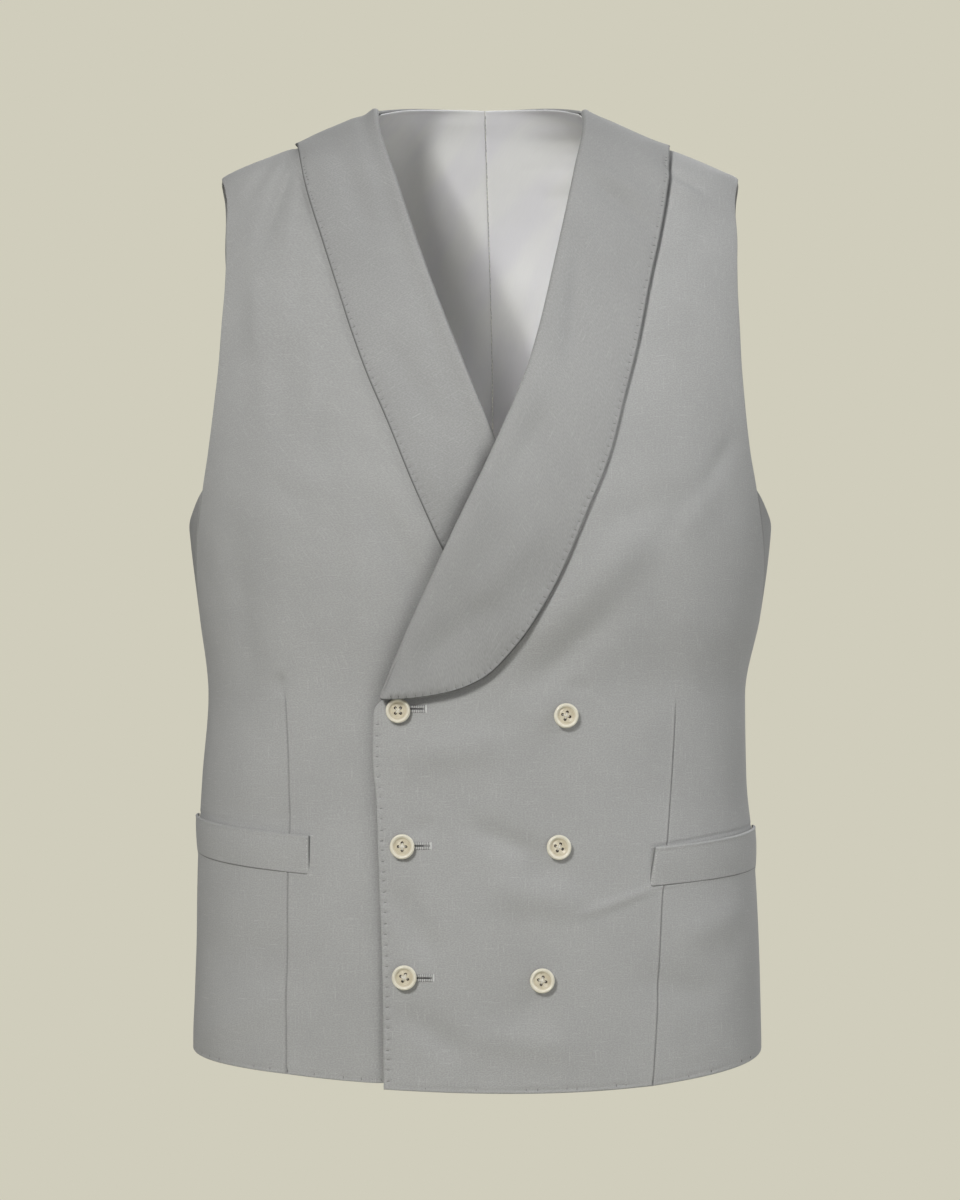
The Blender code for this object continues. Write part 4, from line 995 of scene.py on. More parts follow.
def clothWelt(side, materials):
    sign = signOf[side]
    topX, top, bottomX, bottom, endTurn, endTop, endBottom = welts[side]
    stops = np.array(crowd["welt"])
    tall = top - bottom
    even = np.linspace(0, 1, welts["rows"])[2:-2]
    share = np.concatenate((stops / tall, even, 1 - stops[::-1] / tall))
    startHeight, startX = bottom + tall * share, bottomX + (topX - bottomX) * share
    start = np.stack((turnAt(sign * startX, startHeight), startHeight), axis=-1)
    end = np.stack((np.full(len(share), sign * endTurn), endBottom + (endTop - endBottom) * share), axis=-1)
    path = pathThrough(np.stack((start, end), axis=1))
    distances = spread(0, path[2][:, 0], stops, welts["columns"], stops)
    places = placesAt(path, distances)
    turn, height = places[..., 0], places[..., 1]
    lift = frontLift(side, turn, height) + welts["gap"] + welts["wall"] / 2 + weltLean(share)[:, None]
    sinks, over = welts["endSinks"]
    toEnd = np.minimum(distances, path[2][:, :1] - distances)
    middle, index, outward, uv = onePatch(turn, height, lift - sinks * (1 - ease(0, over, toEnd)))
    rise, half, below = welts["topRoll"]
    press = np.broadcast_to((rise * bell((1 - share) * tall - below, half))[:, None], turn.shape).ravel()
    # painted shade along the welt's sewn bottom and front end
    fromRim = np.minimum((share * tall)[:, None], distances)
    crease = (welts["crease"] * (1 - ease(*welts["paintedShadeEnds"], fromRim))).ravel()
    return clothShell("welt_cloth_" + side, middle, [index], outward, uv, welts["wall"], materials,
                      press, crease)


# The buttons: turned discs with a raised rim, a ringed dish and four holes.
buttons = {
    "places": (  # name, x, height, turn of the holes in degrees
        ("button_1", -0.0493, -0.3829, 0), ("button_2", -0.0469, -0.4660, 45),
        ("button_3", -0.0456, -0.5453, 22), ("button_4", 0.0518, -0.3860, 28),
        ("button_5", 0.0475, -0.4665, 20), ("button_6", 0.0374, -0.5471, 30),
    ),
    "lift": 0.0006,
    "holeRadius": 0.0009,
    "holePitch": 0.0033,
    "holeSides": 20,
    "sides": 96,
    "profile": (  # radius and height of the turned outline, from the back's edge to the dish
        (0.0044, 0.0000), (0.0058, 0.0002), (0.0068, 0.0007), (0.0074, 0.0013), (0.0076, 0.0019),
        (0.00755, 0.0025), (0.0073, 0.0029), (0.0070, 0.0032), (0.0066, 0.0033), (0.0062, 0.0032),
        (0.0058, 0.0029), (0.0054, 0.0025), (0.0050, 0.0023),
    ),
    "rings": (0.0048, 0.0044, 0.0040, 0.0036, 0.0032),  # fine turned grooves in the dish
    "dish": 0.00195,
    "ringDepth": 0.00010,
    "ringWidth": 0.0002,
    "drill": (0.0015, 0.008),  # the height of its middle, and its length
    "sharpFrom": 50,  # degrees
    "holeShadeWithin": 0.0040,  # the holes' walls take the dark brown of painted shade, within this radius
}


def ringOf(radius, height, sides):  # points round a button's own axis
    angles = (2 * math.pi * i / sides for i in range(sides))
    return [(radius * math.cos(a), radius * math.sin(a), height) for a in angles]


def buttonShape():
    profile = list(buttons["profile"])
    for radius in buttons["rings"]:
        profile.append((radius, buttons["dish"] - buttons["ringDepth"]))
        profile.append((radius - buttons["ringWidth"], buttons["dish"]))
    builder, sides, loops = bmesh.new(), buttons["sides"], []
    for radius, height in profile:
        loops.append([builder.verts.new(point) for point in ringOf(radius, height, sides)])
    for low, high in zip(loops, loops[1:]):
        for i in range(sides):
            following = (i + 1) % sides
            builder.faces.new([low[i], low[following], high[following], high[i]])
    builder.faces.new(list(reversed(loops[0])))
    builder.faces.new(loops[-1])
    disc = objectFrom("turnedDisc", builder)
    cutters, half, radius = bmesh.new(), buttons["holePitch"] / 2, buttons["holeRadius"]
    level, deep = buttons["drill"]
    for x, y in ((-half, -half), (-half, half), (half, -half), (half, half)):
        bmesh.ops.create_cone(cutters, cap_ends=True, segments=buttons["holeSides"], depth=deep,
                              radius1=radius, radius2=radius, matrix=Matrix.Translation((x, y, level)))
    drills = objectFrom("threadHoles", cutters)
    cut = disc.modifiers.new("holes", "BOOLEAN")
    cut.operation = "DIFFERENCE"
    cut.object = drills
    mesh = evaluatedMesh(disc)
    for piece in (disc, drills):
        bpy.data.objects.remove(piece)
    mesh.shade_smooth()
    mesh.set_sharp_from_angle(angle=math.radians(buttons["sharpFrom"]))
    turning = mesh.uv_layers.new(name="turning")  # the angle round the button, and the radius in metres
    for corner in mesh.loops:
        x, y, _ = mesh.vertices[corner.vertex_index].co
        turning.data[corner.index].uv = (math.atan2(y, x) / (2 * math.pi), math.hypot(x, y))
    for face in mesh.polygons:
        # the holes' walls take the painted shade
        shadedHole = abs(face.normal.z) < 0.5 and math.hypot(*face.center[:2]) < buttons["holeShadeWithin"]
        face.material_index = 1 if shadedHole else 0
    return mesh


def objectFrom(name, builder):
    mesh = bpy.data.meshes.new(name)
    builder.to_mesh(mesh)
    builder.free()
    return placed(name, mesh)


def evaluatedMesh(piece):
    bpy.context.view_layer.update()
    graph = bpy.context.evaluated_depsgraph_get()
    return bpy.data.meshes.new_from_object(piece.evaluated_get(graph))


def buttonPlace(x, height, spin):
    point, normal = frontSurface("left", np.array(x), np.array(height), buttons["lift"])
    place, normal = Vector(point), Vector(normal)
    level = Vector((0, 0, 1)).cross(normal).normalized()
    facing = Matrix((level, normal.cross(level), normal)).transposed().to_4x4()
    return Matrix.Translation(place) @ facing @ Matrix.Rotation(math.radians(spin), 4, "Z")


# Materials. Patterns follow the weave map, in metres, or the object's own coordinates.
def feed(tree, socket, value):  # by a link, or with a plain value
    if isinstance(value, bpy.types.NodeSocket):
        tree.links.new(value, socket)
    else:
        socket.default_value = value


def addNode(tree, kind, values=(), **settings):
    node = tree.nodes.new(kind)
    for name, value in settings.items():
        setattr(node, name, value)
    for name, value in dict(values).items():
        feed(tree, node.inputs[name], value)
    return node


def newMaterial(name, **constants):
    material = bpy.data.materials.new(name)
    material.use_nodes = True
    shader = material.node_tree.nodes["Principled BSDF"]
    for socket, value in constants.items():
        shader.inputs[socket.replace("_", " ")].default_value = value
    return material, material.node_tree, shader


def uvOf(tree, layer):
    return addNode(tree, "ShaderNodeUVMap", uv_map=layer).outputs["UV"]


def partOf(tree, vector, axis):
    return addNode(tree, "ShaderNodeSeparateXYZ", {"Vector": vector}).outputs[axis]


def mapped(tree, source, scale):
    return addNode(tree, "ShaderNodeMapping", {"Vector": source, "Scale": scale}).outputs["Vector"]


def noise(tree, source, scale, detail=2.0):  # the scale is in cells for each metre
    sockets = {"Vector": mapped(tree, source, scale), "Scale": 1.0, "Detail": detail}
    return addNode(tree, "ShaderNodeTexNoise", sockets).outputs["Fac"]


def ranged(tree, value, low, high, toLow=0.0, toHigh=1.0):
    sockets = {"Value": value, "From Min": low, "From Max": high, "To Min": toLow, "To Max": toHigh}
    return addNode(tree, "ShaderNodeMapRange", sockets, interpolation_type="SMOOTHSTEP").outputs["Result"]


def maths(tree, operation, a, b=0.0):
    return addNode(tree, "ShaderNodeMath", {0: a, 1: b}, operation=operation).outputs["Value"]


def blendColour(tree, share, first, second):
    node = addNode(tree, "ShaderNodeMix", {"Factor": share}, data_type="RGBA")
    for socket, value in zip(node.inputs[6:8], (first, second)):  # the two for colours
        feed(tree, socket, value if isinstance(value, bpy.types.NodeSocket) else (*value, 1.0))
    return node.outputs[2]


def tinted(tree, colour, share, most, tint):  # the share is drawn no stronger than most
    return blendColour(tree, maths(tree, "MULTIPLY", share, most), colour, tint)


def setFinish(tree, shader, colour, rough, relief=None, strength=0.0, distance=0.0):
    tree.links.new(colour, shader.inputs["Base Color"])
    tree.links.new(rough, shader.inputs["Roughness"])
    if relief is not None:
        sockets = {"Height": relief, "Strength": strength, "Distance": distance}
        tree.links.new(addNode(tree, "ShaderNodeBump", sockets).outputs["Normal"], shader.inputs["Normal"])


woolTint = (0.997, 1.0, 0.980)  # the grey leans a little to green


def grey(level):
    return tuple(level * part for part in woolTint)


weaving = {  # what every cloth has, in cells for each metre where nothing else is said
    "slubs": ((1100, 75, 1), (75, 1100, 1)),
    "slubShows": (0.56, 0.80),  # the part of the noise that is a thicker thread
    "fuzz": (900, 1500, 1),
    "broad": (22, 22, 1),
    "relief": (0.5, 0.7, 0.8),  # how much of it the weave, the slubs and the fuzz make
    "reliefDepth": 0.00012,  # metres
    "unevenRoughness": 0.06,
    # the near-black grey of painted shade along edges, seams and under the lapel
    "crease": grey(0.07),
}
finishes = {
    "worsted": {"dark": grey(0.378), "light": grey(0.402), "fleck": grey(0.515), "shadow": grey(0.257),
                "slub": 0.55, "mottle": 0.42, "roughness": 0.86, "sheen": 0.08, "bump": 0.45,
                "thread": 0.00062, "grain": 0.0},
    # the fronts' worsted drawn darker all over as painted shade, with its grain turned along the roll
    "lapelClothShaded": {"dark": grey(0.320), "light": grey(0.340), "fleck": grey(0.44), "shadow": grey(0.228),
                   "slub": 0.45, "mottle": 0.38, "roughness": 0.86, "sheen": 0.06, "bump": 0.40,
                   "thread": 0.00062, "grain": 0.42},
    "backCloth": {"dark": grey(0.312), "light": grey(0.332), "fleck": grey(0.40), "shadow": grey(0.25),
                  "slub": 0.25, "mottle": 0.30, "roughness": 0.70, "sheen": 0.03, "bump": 0.30,
                  "thread": 0.00050, "grain": 0.0},
    "satin": {"dark": (0.735, 0.73, 0.75), "light": (0.785, 0.785, 0.77), "thread": (0.62, 0.615, 0.63),
              "threads": (1600, 120, 1), "broad": (30, 14, 1), "streak": 0.10, "roughness": (0.34, 0.46),
              "bump": 0.2, "depth": 0.00008},
    # on the ivory's own cream and clouds, the rim is drawn lighter as painted highlight and the dish darker
    # as painted shade
    "ivory": {"dish": (0.62, 0.56, 0.42), "rim": (0.78, 0.745, 0.62), "rimFrom": (0.0050, 0.0062),
              "groove": (0.34, 0.28, 0.19), "grooves": 0.30, "groovePitch": 0.00085,
              "cloud": (0.66, 0.62, 0.50), "clouds": 0.35, "cloudSize": (420, 420, 420),
              "roughness": (0.30, 0.42)},
    "thread": {"twist": (3200, 3200, 3200), "roughness": (0.55, 0.75), "bump": 0.4, "depth": 0.00008},
}


def clothMaterial(name, finish):
    material, tree, shader = newMaterial(name, Sheen_Weight=finish["sheen"], Sheen_Roughness=0.5,
                                         Specular_IOR_Level=0.3)
    sockets = {"Vector": uvOf(tree, "weave"), "Angle": finish["grain"]}
    turned = addNode(tree, "ShaderNodeVectorRotate", sockets, rotation_type="Z_AXIS").outputs["Vector"]
    threads = mapped(tree, turned, (2 * math.pi / finish["thread"],) * 3)
    weave = maths(tree, "MULTIPLY", *(maths(tree, "SINE", partOf(tree, threads, axis)) for axis in "XY"))
    slub = maths(tree, "MAXIMUM", *(ranged(tree, noise(tree, turned, scale), *weaving["slubShows"])
                                    for scale in weaving["slubs"]))
    fuzz = noise(tree, turned, weaving["fuzz"], 3.0)
    tone = ranged(tree, noise(tree, turned, weaving["broad"], 3.0), 0.3, 0.7)
    colour = blendColour(tree, tone, finish["dark"], finish["light"])
    colour = tinted(tree, colour, slub, finish["slub"], finish["fleck"])
    colour = tinted(tree, colour, ranged(tree, fuzz, 0.36, 0.64), finish["mottle"], finish["shadow"])
    # painted shade: the cloth is blended toward that near-black grey by the map of painted shade
    colour = blendColour(tree, partOf(tree, uvOf(tree, "crease"), "X"), colour, weaving["crease"])
    low, high = (finish["roughness"] + sign * weaving["unevenRoughness"] for sign in (-1, 1))
    ofWeave, ofSlub, ofFuzz = (maths(tree, "MULTIPLY", value, share)
                               for value, share in zip((weave, slub, fuzz), weaving["relief"]))
    relief = maths(tree, "ADD", maths(tree, "ADD", ofWeave, ofSlub), ofFuzz)
    setFinish(tree, shader, colour, ranged(tree, fuzz, 0.25, 0.75, low, high), relief, finish["bump"],
              weaving["reliefDepth"])
    return material


def satinMaterial(name, finish):
    material, tree, shader = newMaterial(name, Sheen_Weight=0.08, Specular_IOR_Level=0.5, Anisotropic=0.35)
    threads = noise(tree, uvOf(tree, "weave"), finish["threads"])
    tone = ranged(tree, noise(tree, uvOf(tree, "weave"), finish["broad"]), 0.35, 0.65)
    colour = blendColour(tree, tone, finish["dark"], finish["light"])
    colour = tinted(tree, colour, ranged(tree, threads, 0.3, 0.7), finish["streak"], finish["thread"])
    rough = ranged(tree, threads, 0.2, 0.8, *finish["roughness"])
    setFinish(tree, shader, colour, rough, threads, finish["bump"], finish["depth"])
    return material


def ivoryMaterial(name, finish):
    material, tree, shader = newMaterial(name, Specular_IOR_Level=0.45, Coat_Weight=0.2,
                                         Coat_Roughness=0.25)
    cloud = noise(tree, addNode(tree, "ShaderNodeTexCoord").outputs["Object"], finish["cloudSize"], 3.0)
    radius = partOf(tree, uvOf(tree, "turning"), "Y")
    # painted highlight on the rim and painted shade in the dish, by radius
    colour = blendColour(tree, ranged(tree, radius, *finish["rimFrom"]), finish["dish"], finish["rim"])
    # darker rings over the dish: painted shade of the turned grooves
    lathe = maths(tree, "SINE", maths(tree, "MULTIPLY", radius, 2 * math.pi / finish["groovePitch"]))
    colour = tinted(tree, colour, ranged(tree, lathe, 0.0, 1.0), finish["grooves"], finish["groove"])
    colour = tinted(tree, colour, ranged(tree, cloud, 0.35, 0.65), finish["clouds"], finish["cloud"])
    setFinish(tree, shader, colour, ranged(tree, cloud, 0.3, 0.7, *finish["roughness"]))
    return material


def threadMaterial(name, light, dark):
    finish = finishes["thread"]
    material, tree, shader = newMaterial(name, Sheen_Weight=0.1, Specular_IOR_Level=0.35)
    twist = noise(tree, addNode(tree, "ShaderNodeTexCoord").outputs["Object"], finish["twist"])
    colour = blendColour(tree, ranged(tree, twist, 0.3, 0.7), dark, light)
    rough = ranged(tree, twist, 0.3, 0.7, *finish["roughness"])
    setFinish(tree, shader, colour, rough, twist, finish["bump"], finish["depth"])
    return material


worsted, lapelClothShaded, backCloth = (clothMaterial(name, finishes[key]) for name, key in (
    ("worstedWool", "worsted"), ("lapelClothShaded", "lapelClothShaded"), ("backCloth", "backCloth")))
satin = satinMaterial("liningSatin", finishes["satin"])
ivory = ivoryMaterial("turnedIvory", finishes["ivory"])
# painted shade: the dark brown on the holes' walls and on the thread shank under each button
paintedHoleShade = threadMaterial("paintedHoleShade", (0.10, 0.055, 0.03), (0.07, 0.035, 0.02))
print("waistcoat: materials made")


def settle(piece, node):
    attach(piece, "root")
    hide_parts(node)


stitchLines = {
    "front_left": [frontEdgeStitches(), hemStitches("left")],
    "front_right": [hemStitches("right")],
    "lapel_left": lapelStitches("left"),
    "lapel_right": lapelStitches("right"),
}
for side in ("right", "left"):
    front = clothFront(side, [worsted, satin], stitchLines["front_" + side])
    settle(front, "front_" + side)
    backPiece = clothBack(side, [backCloth])
    settle(backPiece, "back_" + side)
    liningPiece = clothLining(side, [satin])
    settle(liningPiece, "back_lining_" + side)
    lapel = clothLapel(side, [lapelClothShaded], stitchLines["lapel_" + side])
    settle(lapel, "lapel_" + side)
    welt = clothWelt(side, [worsted])
    settle(welt, "welt_" + side)
    print("waistcoat:", side, "cloth made")


# Geometry Nodes trees for the sewing.
def socketOf(tree, name):  # the identifier of a tree's named input
    return next(item.identifier for item in tree.interface.items_tree
                if item.name == name and item.in_out == "INPUT")


def newTree(name, **inputs):
    tree = bpy.data.node_groups.new(name, "GeometryNodeTree")
    tree.interface.new_socket("Geometry", in_out="INPUT", socket_type="NodeSocketGeometry")
    for label, kind in inputs.items():
        tree.interface.new_socket(label, in_out="INPUT", socket_type="NodeSocket" + kind)
    tree.interface.new_socket("Geometry", in_out="OUTPUT", socket_type="NodeSocketGeometry")
    return tree, tree.nodes.new("NodeGroupInput").outputs


def finishTree(tree, geometry, thread):  # real geometry, in its thread's material
    real = addNode(tree, "GeometryNodeRealizeInstances", {"Geometry": geometry}).outputs["Geometry"]
    done = addNode(tree, "GeometryNodeSetMaterial", {"Geometry": real, "Material": thread})
    tree.links.new(done.outputs["Geometry"], tree.nodes.new("NodeGroupOutput").inputs["Geometry"])
    return tree


def randomValue(tree, seed, low, high):
    sockets = {2: low, 3: high, "Seed": seed}  # 2, 3 and output 1 are those for a float
    return addNode(tree, "FunctionNodeRandomValue", sockets, data_type="FLOAT").outputs[1]


def stitchTree():  # one rounded stitch on every point, running along it and facing out of the cloth
    tree, given = newTree("stitchRow", Length="Float", Thickness="Float", Turn="Float", Seed="Int",
                          Thread="Material")
    ball = addNode(tree, "GeometryNodeMeshUVSphere", {"Segments": 6, "Rings": 6, "Radius": 0.5})
    lying = addNode(tree, "GeometryNodeTransform", {"Geometry": ball.outputs["Mesh"],
                                                    "Rotation": (0, math.pi / 2, 0)})
    smooth = addNode(tree, "GeometryNodeSetShadeSmooth", {"Geometry": lying.outputs["Geometry"]})
    size = addNode(tree, "ShaderNodeCombineXYZ", {"X": given["Length"], "Y": given["Thickness"],
                                                  "Z": given["Thickness"]})
    stitch = addNode(tree, "GeometryNodeTransform", {"Geometry": smooth.outputs["Geometry"],
                                                     "Scale": size.outputs["Vector"]})
    along, facing = (addNode(tree, "GeometryNodeInputNamedAttribute", {"Name": label},
                             data_type="FLOAT_VECTOR").outputs["Attribute"]
                     for label in ("along", "facing"))
    first = addNode(tree, "FunctionNodeAlignRotationToVector", {"Vector": along}, axis="X")
    second = addNode(tree, "FunctionNodeAlignRotationToVector", {
        "Rotation": first.outputs["Rotation"], "Vector": facing}, axis="Z", pivot_axis="X")
    turn = randomValue(tree, given["Seed"], maths(tree, "MULTIPLY", given["Turn"], -1.0), given["Turn"])
    spin = addNode(tree, "ShaderNodeCombineXYZ", {"Z": turn})
    jitter = addNode(tree, "FunctionNodeEulerToRotation", {"Euler": spin.outputs["Vector"]})
    sockets = {"Rotation": second.outputs["Rotation"], "Rotate By": jitter.outputs["Rotation"]}
    turned = addNode(tree, "FunctionNodeRotateRotation", sockets, rotation_space="LOCAL")
    onPoints = addNode(tree, "GeometryNodeInstanceOnPoints", {
        "Points": given["Geometry"], "Instance": stitch.outputs["Geometry"],
        "Rotation": turned.outputs["Rotation"], "Scale": randomValue(tree, given["Seed"], 0.88, 1.10)})
    return finishTree(tree, onPoints.outputs["Instances"], given["Thread"])


def strandTree():  # a round thread along every line of edges
    tree, given = newTree("threadStrand", Radius="Float", Thread="Material")
    line = addNode(tree, "GeometryNodeMeshToCurve", {"Mesh": given["Geometry"]})
    ring = addNode(tree, "GeometryNodeCurvePrimitiveCircle", {"Resolution": 8, "Radius": given["Radius"]})
    tube = addNode(tree, "GeometryNodeCurveToMesh", {
        "Curve": line.outputs["Curve"], "Profile Curve": ring.outputs["Curve"], "Fill Caps": True})
    smooth = addNode(tree, "GeometryNodeSetShadeSmooth", {"Geometry": tube.outputs["Mesh"]})
    return finishTree(tree, smooth.outputs["Geometry"], given["Thread"])


def grown(name, points, edges, attributes, tree, slot, **values):  # the plain mesh that a tree makes
    mesh = meshOf(name + "_guide", points, edges, [])
    for label, vectors in attributes.items():
        layer = mesh.attributes.new(label, "FLOAT_VECTOR", "POINT")
        layer.data.foreach_set("vector", np.asarray(vectors, np.float32).ravel())
    guide = placed(name + "_guide", mesh)
    modifier = guide.modifiers.new("sewing", "NODES")
    modifier.node_group = tree
    for label, value in values.items():
        modifier[socketOf(tree, label)] = value
    made = evaluatedMesh(guide)
    made.name = name
    bpy.data.objects.remove(guide)
    piece = placed(name, made)
    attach(piece, "root")


rowOfStitches, strandOfThread = stitchTree(), strandTree()


def sew(name, lines, stitch, thread, slot, turn=0.15, seed=3):
    length, thickness, sunk = stitch
    place = np.concatenate([line["place"] - line["facing"] * sunk for line in lines])
    ways = {label: np.concatenate([line[label] for line in lines]) for label in ("along", "facing")}
    grown(name, place, [], ways, rowOfStitches, slot, Length=length, Thickness=thickness, Turn=turn,
          Seed=seed, Thread=thread)


def crossways(line):  # the same stitches, lying across their line
    return {**line, "along": np.cross(line["facing"], line["along"])}


pickThread = threadMaterial("pickThread", grey(0.23), grey(0.15))
for name, lines in stitchLines.items():
    slot = "lapel_cloth" if "lapel" in name else "worsted"
    sew("pick_stitches_" + name, [crossways(line) for line in lines], stitching["stitch"], pickThread, slot)
liningThread = threadMaterial("liningThread", (0.50, 0.495, 0.51), (0.38, 0.375, 0.39))
sew("lining_seam_stitches", [liningSeamStitches()], lining["stitch"], liningThread, "lining_satin",
    turn=0.05, seed=23)
print("waistcoat: pick stitches sewn")


# Buttonholes on the over front's edge side: a slit drawn as a near-black strip of painted shade, stitches
# over both its lips and a bar at its end.
holes = {
    "places": (  # button, x where the slit and the stitches end, rise above the button's middle
        ("button_1", -0.0346, -0.0334, 0.0010), ("button_2", -0.0342, -0.0304, 0.0005),
        ("button_3", -0.0300, -0.0288, -0.0003),
    ),
    "before": 0.0035,  # the slit starts this far before the button's middle
    "slitHalf": 0.00042,
    "bedHalf": 0.0027,  # the worked cloth round the slit
    "stitchSpacing": 0.00110,
    "stitch": (0.0019, 0.00082, -0.00006),  # length, thickness and how far down
    "barAt": (0.0004, 0.0009),
    "bar": (0.0048, 0.00080, 0.0),
    "strip": 0.00012,  # the bed's thickness; the slit lies this far above the bed
    "stripSteps": 50,
    "stripAcross": (-1, -0.6, 0, 0.6, 1),
    "stripCrown": (-1.0, 0.6, 1.0, 0.6, -1.0),
}


def stitchesAt(x, level):  # upright ones on the over front's face
    step = 0.001
    place, facing = frontSurface("left", x, level)
    higher, _ = frontSurface("left", x, level + step)
    return {"place": place, "along": (higher - place) / step, "facing": facing}


def stripOnFront(name, fromX, toX, middle, half, above, material):  # thin, closed and crowned
    steps, columns = holes["stripSteps"], len(holes["stripAcross"])
    xs = np.repeat(np.linspace(fromX, toX, steps), columns)
    across = np.tile(holes["stripAcross"], steps)
    crown = np.tile(holes["stripCrown"], steps) * holes["strip"]
    points, facing = frontSurface("left", xs, middle + half * across, above)
    points = points + facing * crown[:, None]
    quads = gridQuads(np.arange(len(points)).reshape(-1, columns))
    mesh = meshOf(name, points, [], quads, [material])
    mesh.shade_smooth()
    piece = placed(name, mesh)
    thicken = piece.modifiers.new("thickness", "SOLIDIFY")
    thicken.thickness, thicken.offset = holes["strip"], 0.0
    piece.data = evaluatedMesh(piece)
    piece.modifiers.clear()
    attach(piece, "root")


def buttonhole(name, slitEnd, stitchEnd, rise, x, height):
    start, middle = x - holes["before"], height + rise
    at = np.arange(start, stitchEnd, holes["stitchSpacing"])
    away = holes["slitHalf"] + holes["stitch"][0] / 2
    lines = [stitchesAt(at, np.full(len(at), middle + side * away)) for side in (-1, 1)]
    sew("buttonhole_stitches_" + name, lines, holes["stitch"], holeThread, "worsted", turn=0.12, seed=11)
    at = stitchEnd + np.array(holes["barAt"])
    bar = stitchesAt(at, np.full(len(at), middle))
    sew("buttonhole_bar_" + name, [bar], holes["bar"], barThread, "worsted", turn=0.03, seed=5)
    stripOnFront("buttonhole_bed_" + name, start, stitchEnd, middle, holes["bedHalf"], 0.0, holeBed)
    # the slit's opening: a near-black strip of painted shade laid on the bed
    stripOnFront("buttonhole_slit_shade_" + name, start, slitEnd, middle, holes["slitHalf"], holes["strip"],
                 slitShade)


holeThread = threadMaterial("buttonholeThread", grey(0.58), grey(0.46))
barThread = threadMaterial("barThread", grey(0.64), grey(0.50))
# the worked cloth round the slit is real; it is drawn darker than the cloth as painted shade between the
# buttonhole stitches
holeBed = threadMaterial("buttonholeBed", grey(0.25), grey(0.19))
slitShade = threadMaterial("slitShade", grey(0.014), grey(0.008))
buttonAt = {name: (x, height) for name, x, height, spin in buttons["places"]}
for name, slitEnd, stitchEnd, rise in holes["places"]:
    buttonhole(name, slitEnd, stitchEnd, rise, *buttonAt[name])
print("waistcoat: buttonholes worked")


# Stitches that hold the welts' front ends.
def weltStitches(side):
    topX, top, bottomX, bottom, endTurn, endTop, endBottom = welts[side]
    share = np.linspace(*welts["stitchRun"])
    heights = bottom + (top - bottom) * share
    x = signOf[side] * (bottomX + (topX - bottomX) * share + welts["stitchesIn"])
    sinks, over = welts["endSinks"]
    sunk = sinks * (1 - ease(0, over, welts["stitchesIn"]))
    points, facing = frontSurface(side, x, heights, welts["gap"] + welts["wall"] + weltLean(share) - sunk)
    lines = [stitchesAlong(points, facing, welts["stitchSpacing"])]
    for endX, level, lean in ((topX, top, welts["tackLean"]), (bottomX, bottom, -welts["tackLean"])):
        at = signOf[side] * (endX + np.array(welts["tacksAt"]))
        place, facing = frontSurface(side, at, np.full(len(at), level), welts["tacksAbove"])
        along = np.tile((lean * signOf[side], 0.0, 1.0), (len(at), 1))
        lines.append({"place": place, "along": along / np.linalg.norm(along[0]), "facing": facing})
    return lines


for side in ("right", "left"):
    sew("welt_stitches_" + side, weltStitches(side), welts["stitch"], barThread, "worsted", seed=17)
print("waistcoat: welt ends sewn")

buttonMesh = buttonShape()
for name, x, height, spin in buttons["places"]:
    mesh = buttonMesh.copy()
    mesh.transform(buttonPlace(x, height, spin))
    mesh.materials.append(ivory)
    mesh.materials.append(paintedHoleShade)
    settle(placed("turned_" + name, mesh), name)


# Thread through the four holes of a button, crossed in the middle.
buttonThread = {
    "radius": 0.00021,
    "apart": 0.00031,
    "shankRings": (0.0014, 0.0018, 0.0022, 0.0026, 0.0030),  # a thread shank wound under the button, drawn in the dark brown of painted shade seen through the holes
    "shankRadius": 0.00024,
    "shankUnder": 0.00026,
    "shankSides": 24,
    "strands": {"button_1": 2, "button_2": 4, "button_3": 4, "button_4": 2, "button_5": 2, "button_6": 3},
    "steps": 16,
    "sinks": 0.0013,  # how deep its ends go into the holes
    "overDish": 0.0001,
    "eachLayer": 0.00030,
    "bend": 3.2,  # more keeps it flatter over the dish
    "gather": 0.45,  # how close its strands are in a hole
}


def threadLines(strands):
    points, edges = [], []
    steps = buttonThread["steps"]
    reach = buttons["holePitch"] / math.sqrt(2)
    for layer, (dx, dy) in enumerate(((1, 1), (1, -1))):
        way = Vector((dx, dy, 0)).normalized()
        side = Vector((-way.y, way.x, 0))
        for strand in range(strands):
            off = (strand - (strands - 1) / 2) * buttonThread["apart"]
            start = len(points)
            for step in range(steps + 1):
                share = 2 * step / steps - 1
                over = 1 - abs(share) ** buttonThread["bend"]
                height = buttons["dish"] - buttonThread["sinks"] * (1 - over)
                height += over * (buttonThread["overDish"] + layer * buttonThread["eachLayer"])
                spreadOut = buttonThread["gather"] + (1 - buttonThread["gather"]) * over
                point = way * share * reach + side * off * spreadOut
                points.append((point.x, point.y, height))
            edges += [(i, i + 1) for i in range(start, start + steps)]
    return points, edges


def shankLines():  # closed rings of thread between the button and the cloth
    points, edges, sides = [], [], buttonThread["shankSides"]
    for radius in buttonThread["shankRings"]:
        start = len(points)
        points += ringOf(radius, -buttonThread["shankUnder"], sides)
        edges += [(start + i, start + (i + 1) % sides) for i in range(sides)]
    return points, edges


ivoryThread = threadMaterial("ivoryThread", (0.80, 0.77, 0.68), (0.62, 0.59, 0.51))
for name, x, height, spin in buttons["places"]:
    place = buttonPlace(x, height, spin)
    strands = threadLines(buttonThread["strands"][name])
    for label, (points, edges), radius, thread in (
            ("shank_under_", shankLines(), buttonThread["shankRadius"], paintedHoleShade),
            ("thread_in_", strands, buttonThread["radius"], ivoryThread)):
        grown(label + name, [place @ Vector(point) for point in points], edges, {}, strandOfThread,
              "button_ivory", Radius=radius, Thread=thread)
print("waistcoat: buttons made and sewn on")


